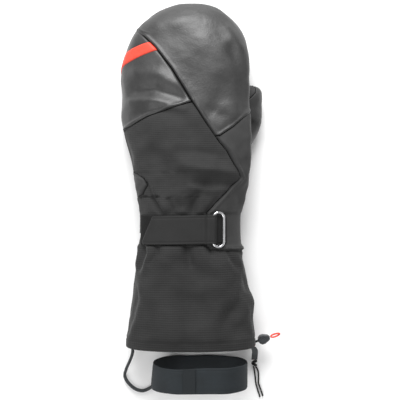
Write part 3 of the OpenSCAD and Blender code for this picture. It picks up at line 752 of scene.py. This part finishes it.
@dataclass
class Shell:
    """The hand's outer panels, laid on the form with their seams turned under."""

    form: HandForm
    relief: Relief
    tuck: float = 1.4
    edge: float = 0.9
    half_gap: float = 0.1

    def seam(self, line: Line, q: float, gap: float = 0.0) -> float:
        """Angle of a seam at a position along the hand."""
        return self.form.angle(at(line, self.form.y(q)) + gap, q)

    def strip_edge(self, q: float, k: int) -> float:
        """Angle of the accent strip's lower or upper edge."""
        q0, q1 = self.form.q(STRIP_LEFT[k]), self.form.q(STRIP_RIGHT[k])
        return at(((q0 - 3, SIDE_HI), (q0, SIDE_HI), (q1, self.seam(DIAGONAL, q1))), q)

    def gusset_edge(self, q: float, gap: float) -> float:
        """Angle of the little-finger gusset's seam, which runs out to the side seam at both ends."""
        y = self.form.y(q)
        share = smooth((y - 0.5) / 5) * (1 - smooth((y - 25.5) / 5))
        return mix(SIDE_HI, self.seam(GUSSET_SEAM, q, gap), share)

    def knuckle_edge(self, q: float, gap: float) -> float:
        """Angle of the knuckle seam, which runs out to the side seam."""
        return mix(SIDE_HI, self.seam(KNUCKLE_SEAM, q, gap), smooth((self.form.y(q) - 66) / 8))

    def panels(self) -> list[Panel]:
        """Lists every panel with its edges."""
        f = self.form
        g = self.half_gap
        diag = lambda q: self.seam(DIAGONAL, q, -g)
        low, high = f.q(STRIP_LEFT[0]), f.q(STRIP_LEFT[1])
        low_r, high_r = f.q(STRIP_RIGHT[0]), f.q(STRIP_RIGHT[1])

        def finger_lo(q: float) -> float:
            """Thumb-side edge of the finger panel."""
            seam = max(SIDE_LO + 1, self.seam(SIDE_SEAM, q, -g))
            return mix(seam, SIDE_LO, smooth((f.y(q) - 82) / 8))

        def finger_hi(q: float) -> float:
            """Little-finger edge of the finger panel."""
            return mix(self.seam(DIAGONAL, q, g), SIDE_HI, smooth((f.y(q) - 163) / 8))

        def knuckle_lo(q: float) -> float:
            """Thumb-side edge of the knuckle panel."""
            return max(diag(q), self.knuckle_edge(q, -g)) if f.y(q) < 95 else diag(q)

        def knuckle_hi(q: float) -> float:
            """Little-finger edge of the knuckle panel, cut by the accent strip."""
            return min(SIDE_HI, self.strip_edge(q + 0.3, 0)) if q > low else SIDE_HI

        def corner_lo(q: float) -> float:
            """Thumb-side edge of the corner panel, cut by the accent strip."""
            return max(diag(q), self.strip_edge(q - 0.3, 1)) if q < high_r else diag(q)

        def back_hi(q: float) -> float:
            """Little-finger edge of the back panel: knuckle seam above, gusset below."""
            y = f.y(q)
            return max(diag(q) + 0.5, self.knuckle_edge(q, g)) if y > 60 else self.gusset_edge(q, g)

        def side_hi(q: float) -> float:
            """Inner edge of the side panel: the side seam above, the diagonal below."""
            if f.y(q) > 61.5:
                return max(SIDE_LO + 3, self.seam(SIDE_SEAM, q, g))
            return self.seam(DIAGONAL, q, g)

        def side_lo(q: float) -> float:
            """Outer edge of the side panel, under the thumb."""
            y = f.y(q)
            return SIDE_LO * (1 - smooth((y - 60) / 24)) - 14 * (1 - smooth((y + 30) / 30))

        return [
            Panel(
                "finger_panel",
                f.q(62.2),
                197,
                finger_lo,
                finger_hi,
                HAND_LEATHER,
                "leather",
                ("leather_finger_panel",),
                120,
                150
            ),
            Panel(
                "knuckle_panel",
                f.q(66.5),
                low_r,
                knuckle_lo,
                knuckle_hi,
                KNUCKLE_LEATHER,
                "leather",
                ("leather_knuckle_panel",),
                90,
                90
            ),
            Panel(
                "corner_panel",
                high,
                f.q(168.6),
                corner_lo,
                lambda q: SIDE_HI,
                KNUCKLE_LEATHER,
                "leather",
                ("leather_corner_panel",),
                40,
                50
            ),
            Panel(
                "back_panel",
                -34,
                f.q(94.6),
                diag,
                back_hi,
                BACK_TWILL,
                "fabric",
                ("back_fabric_panel",),
                110,
                140
            ),
            Panel(
                "side_panel",
                -49.4,
                f.q(86.5),
                side_lo,
                side_hi,
                SIDE_STRETCH,
                "side",
                ("thumb_side_panel",),
                60,
                150
            ),
            Panel(
                "gusset_panel",
                0.8,
                30.2,
                lambda q: self.gusset_edge(q, -g),
                lambda q: SIDE_HI,
                SIDE_STRETCH,
                "side",
                ("pinky_side_gusset",),
                26,
                34
            ),
        ]

    def place(self, panel: Panel) -> Place:
        """Gives the laying function of a panel, with its turned edges."""
        f = self.form
        rows: dict = {}

        def laid(u: float, v: float) -> tuple[float, float, float]:
            """Point of the cloth for shares across and along."""
            q = mix(panel.q0, panel.q1, v)
            if v not in rows:
                lo = panel.lo(q)
                rows[v] = (lo, max(lo + 0.02, panel.hi(q)))
            lo, hi = rows[v]
            a = mix(lo, hi, u)
            girth = math.radians(hi - lo) * (f.read(q, 2) + f.high(q) * 0.5) * 0.5
            length = (panel.q1 - panel.q0)
            near = min(u * girth, (1 - u) * girth, v * length, (1 - v) * length if panel.q1 < 196 else 9.0)
            under = self.tuck * (1 - smooth(near / self.edge))
            return f.point(q, a, under - self.relief.out(q, a))

        return laid

    def strip(self) -> Place:
        """Gives the laying function of the accent strip."""
        f = self.form
        q = [f.q(STRIP_LEFT[0]), f.q(STRIP_LEFT[1]), f.q(STRIP_RIGHT[0]), f.q(STRIP_RIGHT[1])]

        def laid(u: float, v: float) -> tuple[float, float, float]:
            """Point of the cloth for shares across and along."""
            share = 1.14 * v - 0.07
            here = mix(mix(q[2], q[0], u), mix(q[3], q[1], u), share)
            a0 = self.seam(DIAGONAL, mix(q[2], q[3], share), -self.half_gap)
            near = min(u * 34, v * 8, (1 - v) * 8)
            under = 0.9 * (1 - smooth(near / 0.8)) - 0.75
            a = mix(a0, SIDE_HI, u)
            return f.point(here, a, under - self.relief.out(here, a))

        return laid

    def build(self) -> None:
        """Makes every outer panel of the hand."""
        for panel in self.panels():
            share = 1.0
            obj = cloth_grid(
                panel.name,
                int(panel.nu * share),
                int(panel.nv * share),
                self.place(panel),
                100,
                120,
                wall=0.6
            )
            finished(obj, panel.finish, "mitten", panel.nodes)
            LOG.info("laid %s", panel.name)
        strip = cloth_grid("accent_strip_skin", 50, 14, self.strip(), 36, 9, wall=0.5)
        finished(strip, RED_LEATHER, "mitten", ("accent_strip",))

    def build_palm(self) -> None:
        """Makes the palm leather and the patch sewn over it."""
        f = self.form

        def palm(u: float, v: float) -> tuple[float, float, float]:
            """Point of the palm."""
            q = mix(-36, 197, v)
            a = mix(SIDE_HI - 2, 362 + SIDE_LO + 2, u)
            puff = noise.noise(Vector(f.point(q, a, 0)) / 22) * 0.8
            return f.point(q, a, 0.5 + 0.3 - puff * 0.6)

        def patch(u: float, v: float) -> tuple[float, float, float]:
            """Point of the reinforcement on the palm."""
            q, a = mix(-14, f.q(150), v), mix(232, 296, u)
            near = min(u * 80, (1 - u) * 80, v * 160, (1 - v) * 160)
            return f.point(q, a, 0.9 * (1 - smooth(near / 1.5)))

        share = 1.0
        skin = cloth_grid("palm_skin", int(110 * share), int(150 * share), palm, 150, 230, wall=0.5)
        finished(skin, PALM_LEATHER, "mitten", ("palm_panel",))
        over = cloth_grid("palm_patch", 50, 80, patch, 80, 160, wall=0.5)
        finished(over, PALM_LEATHER, "mitten", ("palm_reinforcement",))


# Thumb --------------------------------------------------------------------
@dataclass
class Thumb:
    """The thumb stall under the hand's edge, in three pieces."""

    form: HandForm
    reach: float = 116.0
    wide: float = 32.0
    thick: float = 28.0
    x: float = 47.0

    def section(self, t: float, y: float, d: float) -> tuple[float, float, float]:
        """Point on the straight part of the thumb."""
        k = clamp01((y - self.reach + 22) / (22 - d))
        r = max(0.0, 1 - k**3) ** (1 / 3)
        a = (self.wide / 2 - d) * r
        b = (self.thick / 2 - d) * max(0.0, 1 - k**2.6) ** (1 / 2.6)
        dx = mix(-3, 0, smooth((y - 60) / 30)) + 4 * k * k
        y = min(y, self.reach - d)
        return (self.x + dx + a * math.cos(t), y, max(0.05, d, self.thick / 2 + k + b * math.sin(t)))

    def point(self, t_deg: float, v: float, d: float) -> tuple[float, float, float]:
        """Point on the thumb: angle in degrees, share from its base to its tip, and depth."""
        t = math.radians(t_deg)
        if v < 0.45:
            s = v / 0.45
            e = smooth(s)
            turn = math.radians(t_deg - 95)
            b = self.form.point(
                48 + (27 - d) * math.cos(turn), -38 - (21 - d * 0.8) * math.sin(turn), -0.4 + 1.2 * (1 - s)
            )
            c = self.section(t, 84 - 2 * math.cos(t), d)
            bulge = 5.5 * math.sin(math.pi * s) * clamp01(0.25 - math.sin(math.radians(t_deg - 115)))
            return (
                mix(b[0], c[0], e) + bulge * 0.3,
                mix(b[1], c[1], s),
                max(0.05, d, mix(b[2], c[2], e) - bulge)
            )
        s = (v - 0.45) / 0.55
        y = 84 - 2 * math.cos(t) * (1 - s) + (self.reach - d - 84) * math.sin(math.pi / 2 * s)
        return self.section(t, self.reach if v > 0.999 else y, d)

    def build(self) -> None:
        """Makes the three thumb pieces."""
        share = 1.0
        parts = (
            ("thumb_back", -20, 129, HAND_LEATHER, "thumb_back_panel", "leather", 70),
            ("thumb_gusset", 129, 195, SIDE_STRETCH, "thumb_fourchette", "side", 34),
            ("thumb_palm", 195, 340, PALM_LEATHER, "thumb_palm_panel", "palm", 66),
        )
        for name, t0, t1, finish, node, slot, nu in parts:

            def laid(u: float, v: float, t0: float = t0, t1: float = t1) -> tuple[float, float, float]:
                """Point of the cloth for shares across and along."""
                seam = mix(129, 56, smooth((v - 0.42) / 0.4))
                start, end = (seam if edge == 129 else edge for edge in (t0, t1))
                t = mix(start, end, u)
                p = self.point(t, v, 0.0)
                near = min(u, 1 - u) * math.radians(end - start) * 15
                under = 1.3 * (1 - smooth(near / 1.2))
                lump = noise.noise(Vector(p) / 12) * 0.5 + noise.noise(Vector(p) / 5) * 0.2
                return self.point(t, v, under - lump * (1 - 0.6 * smooth(v * 3 - 2)))

            obj = cloth_grid(name, int(nu * share), int(110 * share), laid, 40, 95, wall=0.5)
            finished(obj, finish, "mitten", (node,))


# Cuff ---------------------------------------------------------------------
@dataclass
class Cuff:
    """The gauntlet: one tube of cloth with a turned hem over the drawcord."""

    form: HandForm
    relief: Relief
    top: float = -28.0
    hem: float = -147.0
    inner: float = 5.0

    def laid(self, u: float, v: float) -> tuple[float, float, float]:
        """Point of the cuff cloth: down the outside, round the hem and up the inside."""
        a = 360 * u
        f = self.form
        if v < 0.84:
            q = mix(self.top, self.hem + 1.6, v / 0.84)
            hem_line = 0.5 * math.exp(-(((q - self.hem - 9) / 0.8) ** 2))
            neck = 1.0 * smooth((q + 46) / 12)
            return f.point(q, a, neck + hem_line - self.relief.out(q, a) * smooth((q - self.hem) / 14))
        s = (v - 0.84) / 0.16
        if s < 0.35:
            turn = math.pi * s / 0.35
            mid = self.inner / 2
            return f.point(self.hem + 1.6 - 1.6 * math.sin(turn), a, mid - mid * math.cos(turn))
        return f.point(mix(self.hem + 1.6, self.hem + 10, (s - 0.35) / 0.65), a, self.inner)

    def build(self) -> None:
        """Makes the cuff."""
        share = 1.0
        obj = cloth_grid(
            "cuff_cloth",
            int(240 * share),
            int(150 * share),
            lambda u, v: self.laid(1 - u, v),
            320,
            130,
            wall=0.4,
            flip=True
        )
        finished(obj, CUFF_NYLON, "mitten", ("cuff_back_panel", "cuff_palm_panel", "hem_channel"))


# Inside -------------------------------------------------------------------
@dataclass
class Inside:
    """Lining, wadding, film and the small sewn-in pieces."""

    form: HandForm
    lining: float = 9.1

    def tube(
        self,
        name: str,
        d: float,
        q0: float,
        finish: Finish,
        node: Sequence[str],
        flare: float = 0.0
    ) -> None:
        """Makes one closed layer inside the hand.

        Args:
            name: the piece's name.
            d: depth below the skin.
            q0: where it starts at the hem end.
            finish: its material.
            node: CAD nodes it stands for.
            flare: how far its mouth turns out to meet the hem.
        """
        f = self.form

        def laid(u: float, v: float) -> tuple[float, float, float]:
            """Point of the cloth for shares across and along."""
            q = mix(q0, 196.9, v)
            fuzz = noise.noise(Vector(f.point(q, 360 * u, d)) / 9) * 0.35
            return f.point(q, 360 * u, d + fuzz - flare * (1 - smooth((q - q0) / 7)))

        obj = cloth_grid(name, 90, 110, laid, 300, 340, wall=0.3)
        finished(obj, finish, "mitten", node)

    def build(self) -> None:
        """Makes every inner layer and dresses the small CAD pieces."""
        self.tube("lining_fleece", self.lining + 0.4, -138, FLEECE, ("hand_lining",), flare=4.0)
        # The film lies under the shell, above the wadding. Its charcoal is painted shade in the seam gaps.
        self.tube("insert_film", 4.6, -137, FILM_SEAM_SHADE, ("waterproof_insert",))
        self.tube("wadding", 6.6, -136, WADDING, ("insulation_back", "insulation_palm"))
        keep_node("thumb_insulation", WADDING)
        keep_node("thumb_lining", FLEECE)
        keep_node("wrist_elastic", WEBBING)
        keep_node("hem_drawcord", CORD_BRAID)
        keep_node("care_label", LABEL_SATIN)


# Wrist strap --------------------------------------------------------------
@dataclass
class WristStrap:
    """Strap, its hook tape and loop patch, the webbing and the metal loop."""

    form: HandForm
    relief: Relief
    y: float = STRAP_Y
    wide: float = 28.0
    thick: float = 1.4
    hinge_x: float = 17.0
    end_x: float = -58.0
    bar_x: float = 12.6

    def rise(self, x: float) -> float:
        """Height of the strap's underside over the skin."""
        hump = smooth((x - 3) / 6) * (1 - smooth((x - self.bar_x - 1.2) / 3.4))
        flat, over = 1.95, 5.5
        return mix(flat, over, hump) - 0.25 * smooth((x - self.bar_x - 1.2) / 3.2)

    def strap(self, u: float, v: float) -> tuple[float, float, float]:
        """Point on the strap's top face."""
        w = v - 0.5
        end = self.end_x + 11 * clamp01((w + 0.42) / 0.9) + 1.6 * (1 - smooth((w + 0.5) / 0.08))
        x = mix(self.hinge_x, 2, u / 0.3) if u < 0.3 else mix(2, end, (u - 0.3) / 0.7)
        y = self.y + w * self.wide + x * 0.02
        edge = min(v, 1 - v) * self.wide
        seam = 0.5 * math.exp(-(((edge - 2.2) / 0.6) ** 2))
        roll = 0.5 * (1 - smooth(edge / 1.0)) + 0.5 * (1 - smooth((1 - u) * 75 / 1.0))
        soft = noise.noise(Vector((x, y, 5)) / 13) * 0.25
        return self.form.above(x, y, self.rise(x) + self.thick - seam - roll + soft)

    def flat_piece(
        self, name: str, x0: float, x1: float, low: float, high: float, lift: float, thick: float
    ) -> bpy.types.Object:
        """Makes a flat strip over the back of the hand between two plan positions."""

        def laid(u: float, v: float) -> tuple[float, float, float]:
            """Point of the cloth for shares across and along."""
            return self.form.above(mix(x0, x1, u), self.y + mix(low, high, v) * self.wide, lift + thick)

        return cloth_grid(name, 40, 28, laid, abs(x1 - x0), self.wide, wall=thick, flip=True)

    def build(self) -> None:
        """Makes the strap and its parts."""
        strap = cloth_grid("strap_cloth", 110, 40, self.strap, 75, 28, wall=self.thick, flip=True)
        finished(strap, STRAP_NYLON, "strap_tail", ("wrist_strap",))
        hook = self.flat_piece("hook_pad", -22, -44, -0.42, 0.2, 1.35, 0.6)
        finished(hook, HOOK_TAPE, "strap_tail", ("strap_hook_tape",))
        loop = self.flat_piece("loop_pad", -18, -59, -0.5, 0.5, 0.45, 0.6)
        finished(loop, HOOK_TAPE, "mitten", ("loop_patch",))
        web = self.flat_piece("anchor_web", 26, 5, -0.46, 0.46, 0.2, 1.2)
        finished(web, WEBBING, "mitten", ("anchor_webbing",))
        keep_node("strap_loop", NICKEL)


# Drawcord -----------------------------------------------------------------
@dataclass
class Drawcord:
    """Toggle, pull loop, tab, knot and the cord's two tails."""

    tail_d: float = 1.6
    tail_a: Line = (
        (55.6, -173, 1.8), (56.6, -178, 1), (57.4, -184, 1), (58, -190, 1), (59.6, -196, 1),
        (61.2, -201, 1), (62.4, -205, 1)
    )
    tail_b: Line = (
        (58, -173, 1.8), (60.4, -178, 1), (60.8, -184, 1), (60.8, -190, 1), (62.4, -195, 1),
        (64.2, -200, 1), (65.4, -204, 1)
    )

    def build_cords(self) -> None:
        """Makes the two cord tails that lie on the table."""
        for name, points in (("drawcord_tail_a", self.tail_a), ("drawcord_tail_b", self.tail_b)):
            route = spline_points(points, 30)
            obj = cord_curve(name + "_cord", route, self.tail_d / 2)
            finished(obj, CORD_BRAID, "mitten", (name,))

    knot: Sequence[float] = (56.2, -169, 3.4)
    hem: float = -147.0
    eye: Sequence[float] = (55.1, -143.5, 22.0)

    def build_knot(self) -> None:
        """Makes the overhand knot as one lap of cord."""
        route = []
        for k in range(41):
            t = 4 * math.pi * k / 40
            r = 1.9 + 0.25 * math.sin(3 * t)
            route.append(
                Vector(
                    (
                        self.knot[0] + r * math.cos(t),
                        self.knot[1] + 2.1 * math.cos(t / 2),
                        self.knot[2] + 1.75 * math.sin(t)
                    )
                )
            )
        lap = cord_curve("knot_lap", route, 1.15)
        finished(lap, CORD_BRAID, "mitten", ("cord_knot",))

    def build_tab(self) -> None:
        """Makes the webbing tab that hangs from the hem down to the knot."""
        path = spline_points(
            (
                (53.5, self.hem - 1.3, 25.5),
                (55.5, self.hem - 5, 22),
                (56, self.hem - 11, 14),
                (56.2, self.hem - 18, 5.6)
            ),
            30
        )

        def laid(u: float, v: float) -> tuple[float, float, float]:
            """Point of the cloth for shares across and along."""
            p = path[min(30, int(v * 30 + 0.5))]
            round_edge = 0.5 * (1 - smooth(min(u, 1 - u) * 6.2 / 0.8))
            return (p[0] + (u - 0.5) * 6.2, p[1], p[2] + 0.7 - round_edge)

        tab = cloth_grid("tab_webbing", 10, 30, laid, 6.2, 26, wall=1.3, flip=True)
        finished(tab, LEASH_TAPE, "mitten", ("webbing_tab",))

    def build_stitches(self) -> None:
        """Adds the red bar tack by the tab and the cord between eyelet and toggle."""
        tack = [
            Vector((x, self.hem + 1.2 + 0.9 * (k % 2), z))
            for k, (x, z) in enumerate((48.5 + 0.75 * i, 33.2 - 0.55 * i) for i in range(10))
        ]
        line = cord_curve("red_bar_tack", tack, 0.75)
        finished(line, RED_THREAD, "mitten", ())
        ex, ey, ez = self.eye
        turn = math.radians(18)
        stub = [Vector((ex + s * math.cos(turn), ey + s * math.sin(turn), ez)) for s in (-1.5, 0.0, 1.5, 3.0)]
        cord = cord_curve("drawcord_exit", stub, 1.15)
        finished(cord, CORD_BRAID, "mitten", ())

    def build_pull_loop(self) -> None:
        """Makes the red loop that is pulled to draw the cord."""
        low, high = (Vector(corner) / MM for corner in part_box("pull_loop"))
        middle, turn = (low + high) / 2, math.radians(18)
        along = Vector((math.cos(turn), math.sin(turn), 0))
        across = Vector((-math.sin(turn), math.cos(turn), 0))
        laps = (2 * math.pi * k / 40 for k in range(40))
        route = [
            middle + along * 4.6 * math.cos(t) + across * 1.35 * math.sin(t) + Vector(
                (0, 0, 0.5 * math.sin(2 * t))
            )
            for t in laps
        ]
        loop = cord_curve("red_pull_loop", route, 0.85)
        loop.data.splines[0].use_cyclic_u = True
        finished(loop, RED_SOFT, "pull_loop", ("pull_loop",))

    def build(self) -> None:
        """Dresses the toggle and the pieces by it."""
        self.build_pull_loop()
        self.build_knot()
        self.build_tab()
        self.build_stitches()
        for node, finish in (
            ("cord_lock_body", ACETAL), ("cord_lock_button", ACETAL), ("cord_eyelet", ACETAL),
            ("cord_lock_spring", SPRING_STEEL), ("pull_cord", CORD_BRAID),
        ):
            keep_node(node, finish)


def spline_points(points: Line, steps: int) -> list[Vector]:
    """Passes a smooth curve through given points, in mm.

    Args:
        points: the route.
        steps: how many spans the result has.

    Returns:
        The points of the curve.
    """
    n = len(points) - 1
    made = []
    for k in range(steps + 1):
        f = min(n - 1e-4, n * k / steps)
        i = int(f)
        t = f - i
        a, b, c, d = (Vector(points[max(0, min(n, j))]) for j in (i - 1, i, i + 1, i + 2))
        made.append(
            0.5 * (
                2 * b + (c - a) * t + (2 * a - 5 * b + 4 * c - d) * t * t + (3 * b - a - 3 * c + d) * t**3
            )
        )
    return made


def cord_curve(
    name: str, points: Sequence[Vector], radius: float, flat: float = 0.0, turn: float = 0.0
) -> bpy.types.Object:
    """Makes a cord or tape as one open curve.

    Args:
        name: the piece's name.
        points: its route in mm.
        radius: half its thickness in mm.
        flat: extra half width in mm of a tape.
        turn: how far the tape is turned about its run, in radians.

    Returns:
        The curve object.
    """
    data = bpy.data.curves.new(name, "CURVE")
    data.dimensions = "3D"
    data.twist_mode = "Z_UP"
    data.bevel_depth = radius * MM
    data.bevel_resolution = 3
    data.use_fill_caps = True
    data.extrude = flat * MM
    line = data.splines.new("POLY")
    line.points.add(len(points) - 1)
    for spot, p in zip(line.points, points):
        spot.co = (p[0] * MM, p[1] * MM, p[2] * MM, 1)
        spot.tilt = turn
    obj = bpy.data.objects.new(name, data)
    bpy.context.scene.collection.objects.link(obj)
    return obj


# Leash --------------------------------------------------------------------
@dataclass
class Leash:
    """The tape from the cuff and the elastic wrist band."""

    wide: float = 98.0
    high: float = 60.0
    run: float = 25.0
    thick: float = 1.8
    x: float = -1.5
    top_y: float = -161.5
    path: Line = (
        (-68.4, -141, 26.5), (-67.6, -148, 26), (-68.6, -156, 20), (-72, -165, 13), (-76, -174, 6.5),
        (-78, -182, 3.2),
        (-75, -189, 2.5), (-68, -195.5, 2.5), (-60, -198, 2.5), (-53, -195.5, 3), (-47.5, -191, 5),
        (-43.8, -186.5, 6.6), (-42.9, -181, 7),
    )

    def build_tape(self) -> None:
        """Makes the tape that joins the band to the cuff."""
        route = spline_points(self.path, 60)
        obj = cord_curve("leash_tape_cord", route, 0.7, 1.3, 0.7)
        finished(obj, LEASH_TAPE, "leash", ("leash_tape",))

    def round_band(self, share: float, depth: float) -> tuple[float, float]:
        """Point of the band's outline, for a share round it and a depth in from outside."""
        r = self.high / 2
        straight = self.wide - self.high
        total = 2 * straight + 2 * math.pi * r
        s = (share % 1.0) * total
        legs = (straight / 2, math.pi * r, straight, math.pi * r, straight / 2)
        if s < legs[0]:
            return (s, depth)
        s -= legs[0]
        if s < legs[1]:
            t = s / r - math.pi / 2
            return (straight / 2 + (r - depth) * math.cos(t), r + (r - depth) * math.sin(t))
        s -= legs[1]
        if s < legs[2]:
            return (straight / 2 - s, self.high - depth)
        s -= legs[2]
        if s < legs[3]:
            t = s / r + math.pi / 2
            return (-straight / 2 + (r - depth) * math.cos(t), r + (r - depth) * math.sin(t))
        return (-straight / 2 + s - legs[3], depth)

    def band(self, u: float, v: float) -> tuple[float, float, float]:
        """Point on the outside of the band: round it, and along its width."""
        edge = min(v, 1 - v) * self.run
        x, z = self.round_band(
            u, 0.45 * (1 - smooth(edge / 1.2)) + 0.25 * math.exp(-(((edge - 2.4) / 0.6) ** 2))
        )
        sag = 0.6 * noise.noise(Vector((x, z, 2)) / 21)
        left = smooth((-x - 6) / 40)
        lean = left * (3.6 - 2.4 * v)
        dip = 1.2 * smooth((z - 40) / 16) * smooth((10 - x) / 40) * (1 - v)
        return (self.x + x + lean, self.top_y - v * self.run + sag - dip, max(0.05, z))

    def build(self) -> None:
        """Makes the band and its sewn overlap."""
        band = cloth_grid("band_elastic", 220, 36, self.band, 260, 25, wall=self.thick, flip=False)
        finished(band, BAND_ELASTIC, "leash", ("leash_band",))
        keep_node("leash_band_overlap", BAND_ELASTIC)


# Studio -------------------------------------------------------------------
@dataclass
class Studio:
    """Camera straight above the mitten, a pale floor and soft light from the fingertip end."""

    height: float = 0.75
    half_field: float = 0.2
    focus_z: float = 0.03

    def camera(self) -> None:
        """Sets the camera over the mitten's middle."""
        data = bpy.data.cameras.new("camera")
        data.sensor_width = 36
        data.lens = 18 * (self.height - self.focus_z) / self.half_field
        data.clip_start = 0.01
        cam = bpy.data.objects.new("camera", data)
        cam.location = (0, 0, self.height)
        bpy.context.scene.collection.objects.link(cam)
        bpy.context.scene.camera = cam

    def light(self) -> None:
        """Adds the floor, the two soft boxes and the plain world."""
        bm = bmesh.new()
        bmesh.ops.create_grid(bm, x_segments=1, y_segments=1, size=3)
        data = bpy.data.meshes.new("floor")
        bm.to_mesh(data)
        bm.free()
        floor = bpy.data.objects.new("floor", data)
        floor.location.z = -0.0004
        bpy.context.scene.collection.objects.link(floor)
        matt = bpy.data.materials.new("floor_paper")
        matt.use_nodes = True
        shader = matt.node_tree.nodes["Principled BSDF"]
        shader.inputs["Base Color"].default_value = (0.94, 0.94, 0.94, 1)
        shader.inputs["Roughness"].default_value = 0.9
        shader.inputs["Specular IOR Level"].default_value = 0.0
        floor.data.materials.append(matt)
        for name, spot, size, power in (
            ("key", (-0.05, 1.15, 0.82), 0.8, 29.0),
            ("fill", (-0.6, -0.7, 0.9), 1.0, 6.5),
        ):
            lamp = bpy.data.lights.new(name, "AREA")
            lamp.size = size
            lamp.energy = power
            obj = bpy.data.objects.new(name, lamp)
            obj.location = spot
            obj.rotation_euler = (Vector((0, 0, 0)) - Vector(spot)).to_track_quat("-Z", "Y").to_euler()
            bpy.context.scene.collection.objects.link(obj)
        world = bpy.data.worlds.new("studio")
        bpy.context.scene.world = world
        world.use_nodes = True
        tree = world.node_tree
        tree.nodes.clear()
        path = add_node(tree, "ShaderNodeLightPath")
        seen = add_node(
            tree,
            "ShaderNodeMath",
            {"operation": "MAXIMUM"},
            {0: path.outputs["Is Camera Ray"], 1: path.outputs["Is Transmission Ray"]}
        )
        power = add_node(
            tree, "ShaderNodeMapRange", {"To Min": 0.55, "To Max": 1.0}, {"Value": seen.outputs[0]}
        )
        back = add_node(tree, "ShaderNodeBackground", {"Color": (1, 1, 1, 1)}, {"Strength": power.outputs[0]})
        add_node(tree, "ShaderNodeOutputWorld", {}, {"Surface": back.outputs[0]})
        bpy.context.scene.view_settings.view_transform = "Standard"


def main() -> None:
    """Builds the studio, the cords and then every piece of the mitten."""
    logging.basicConfig(level=logging.INFO, format="%(name)s: %(message)s")
    studio = Studio()
    studio.camera()
    drawcord = Drawcord()
    drawcord.build_cords()
    leash = Leash()
    leash.build_tape()
    LOG.info("cords laid")
    studio.light()
    form = HandForm()
    relief = Relief(form)
    ShellCloth(form, relief).run()
    shell = Shell(form, relief)
    shell.build()
    shell.build_palm()
    Thumb(form).build()
    Cuff(form, relief).build()
    LOG.info("shell, thumb and cuff made")
    Inside(form).build()
    WristStrap(form, relief).build()
    drawcord.build()
    leash.build()
    LOG.info("all pieces in place")


if __name__ == "__main__":
    main()
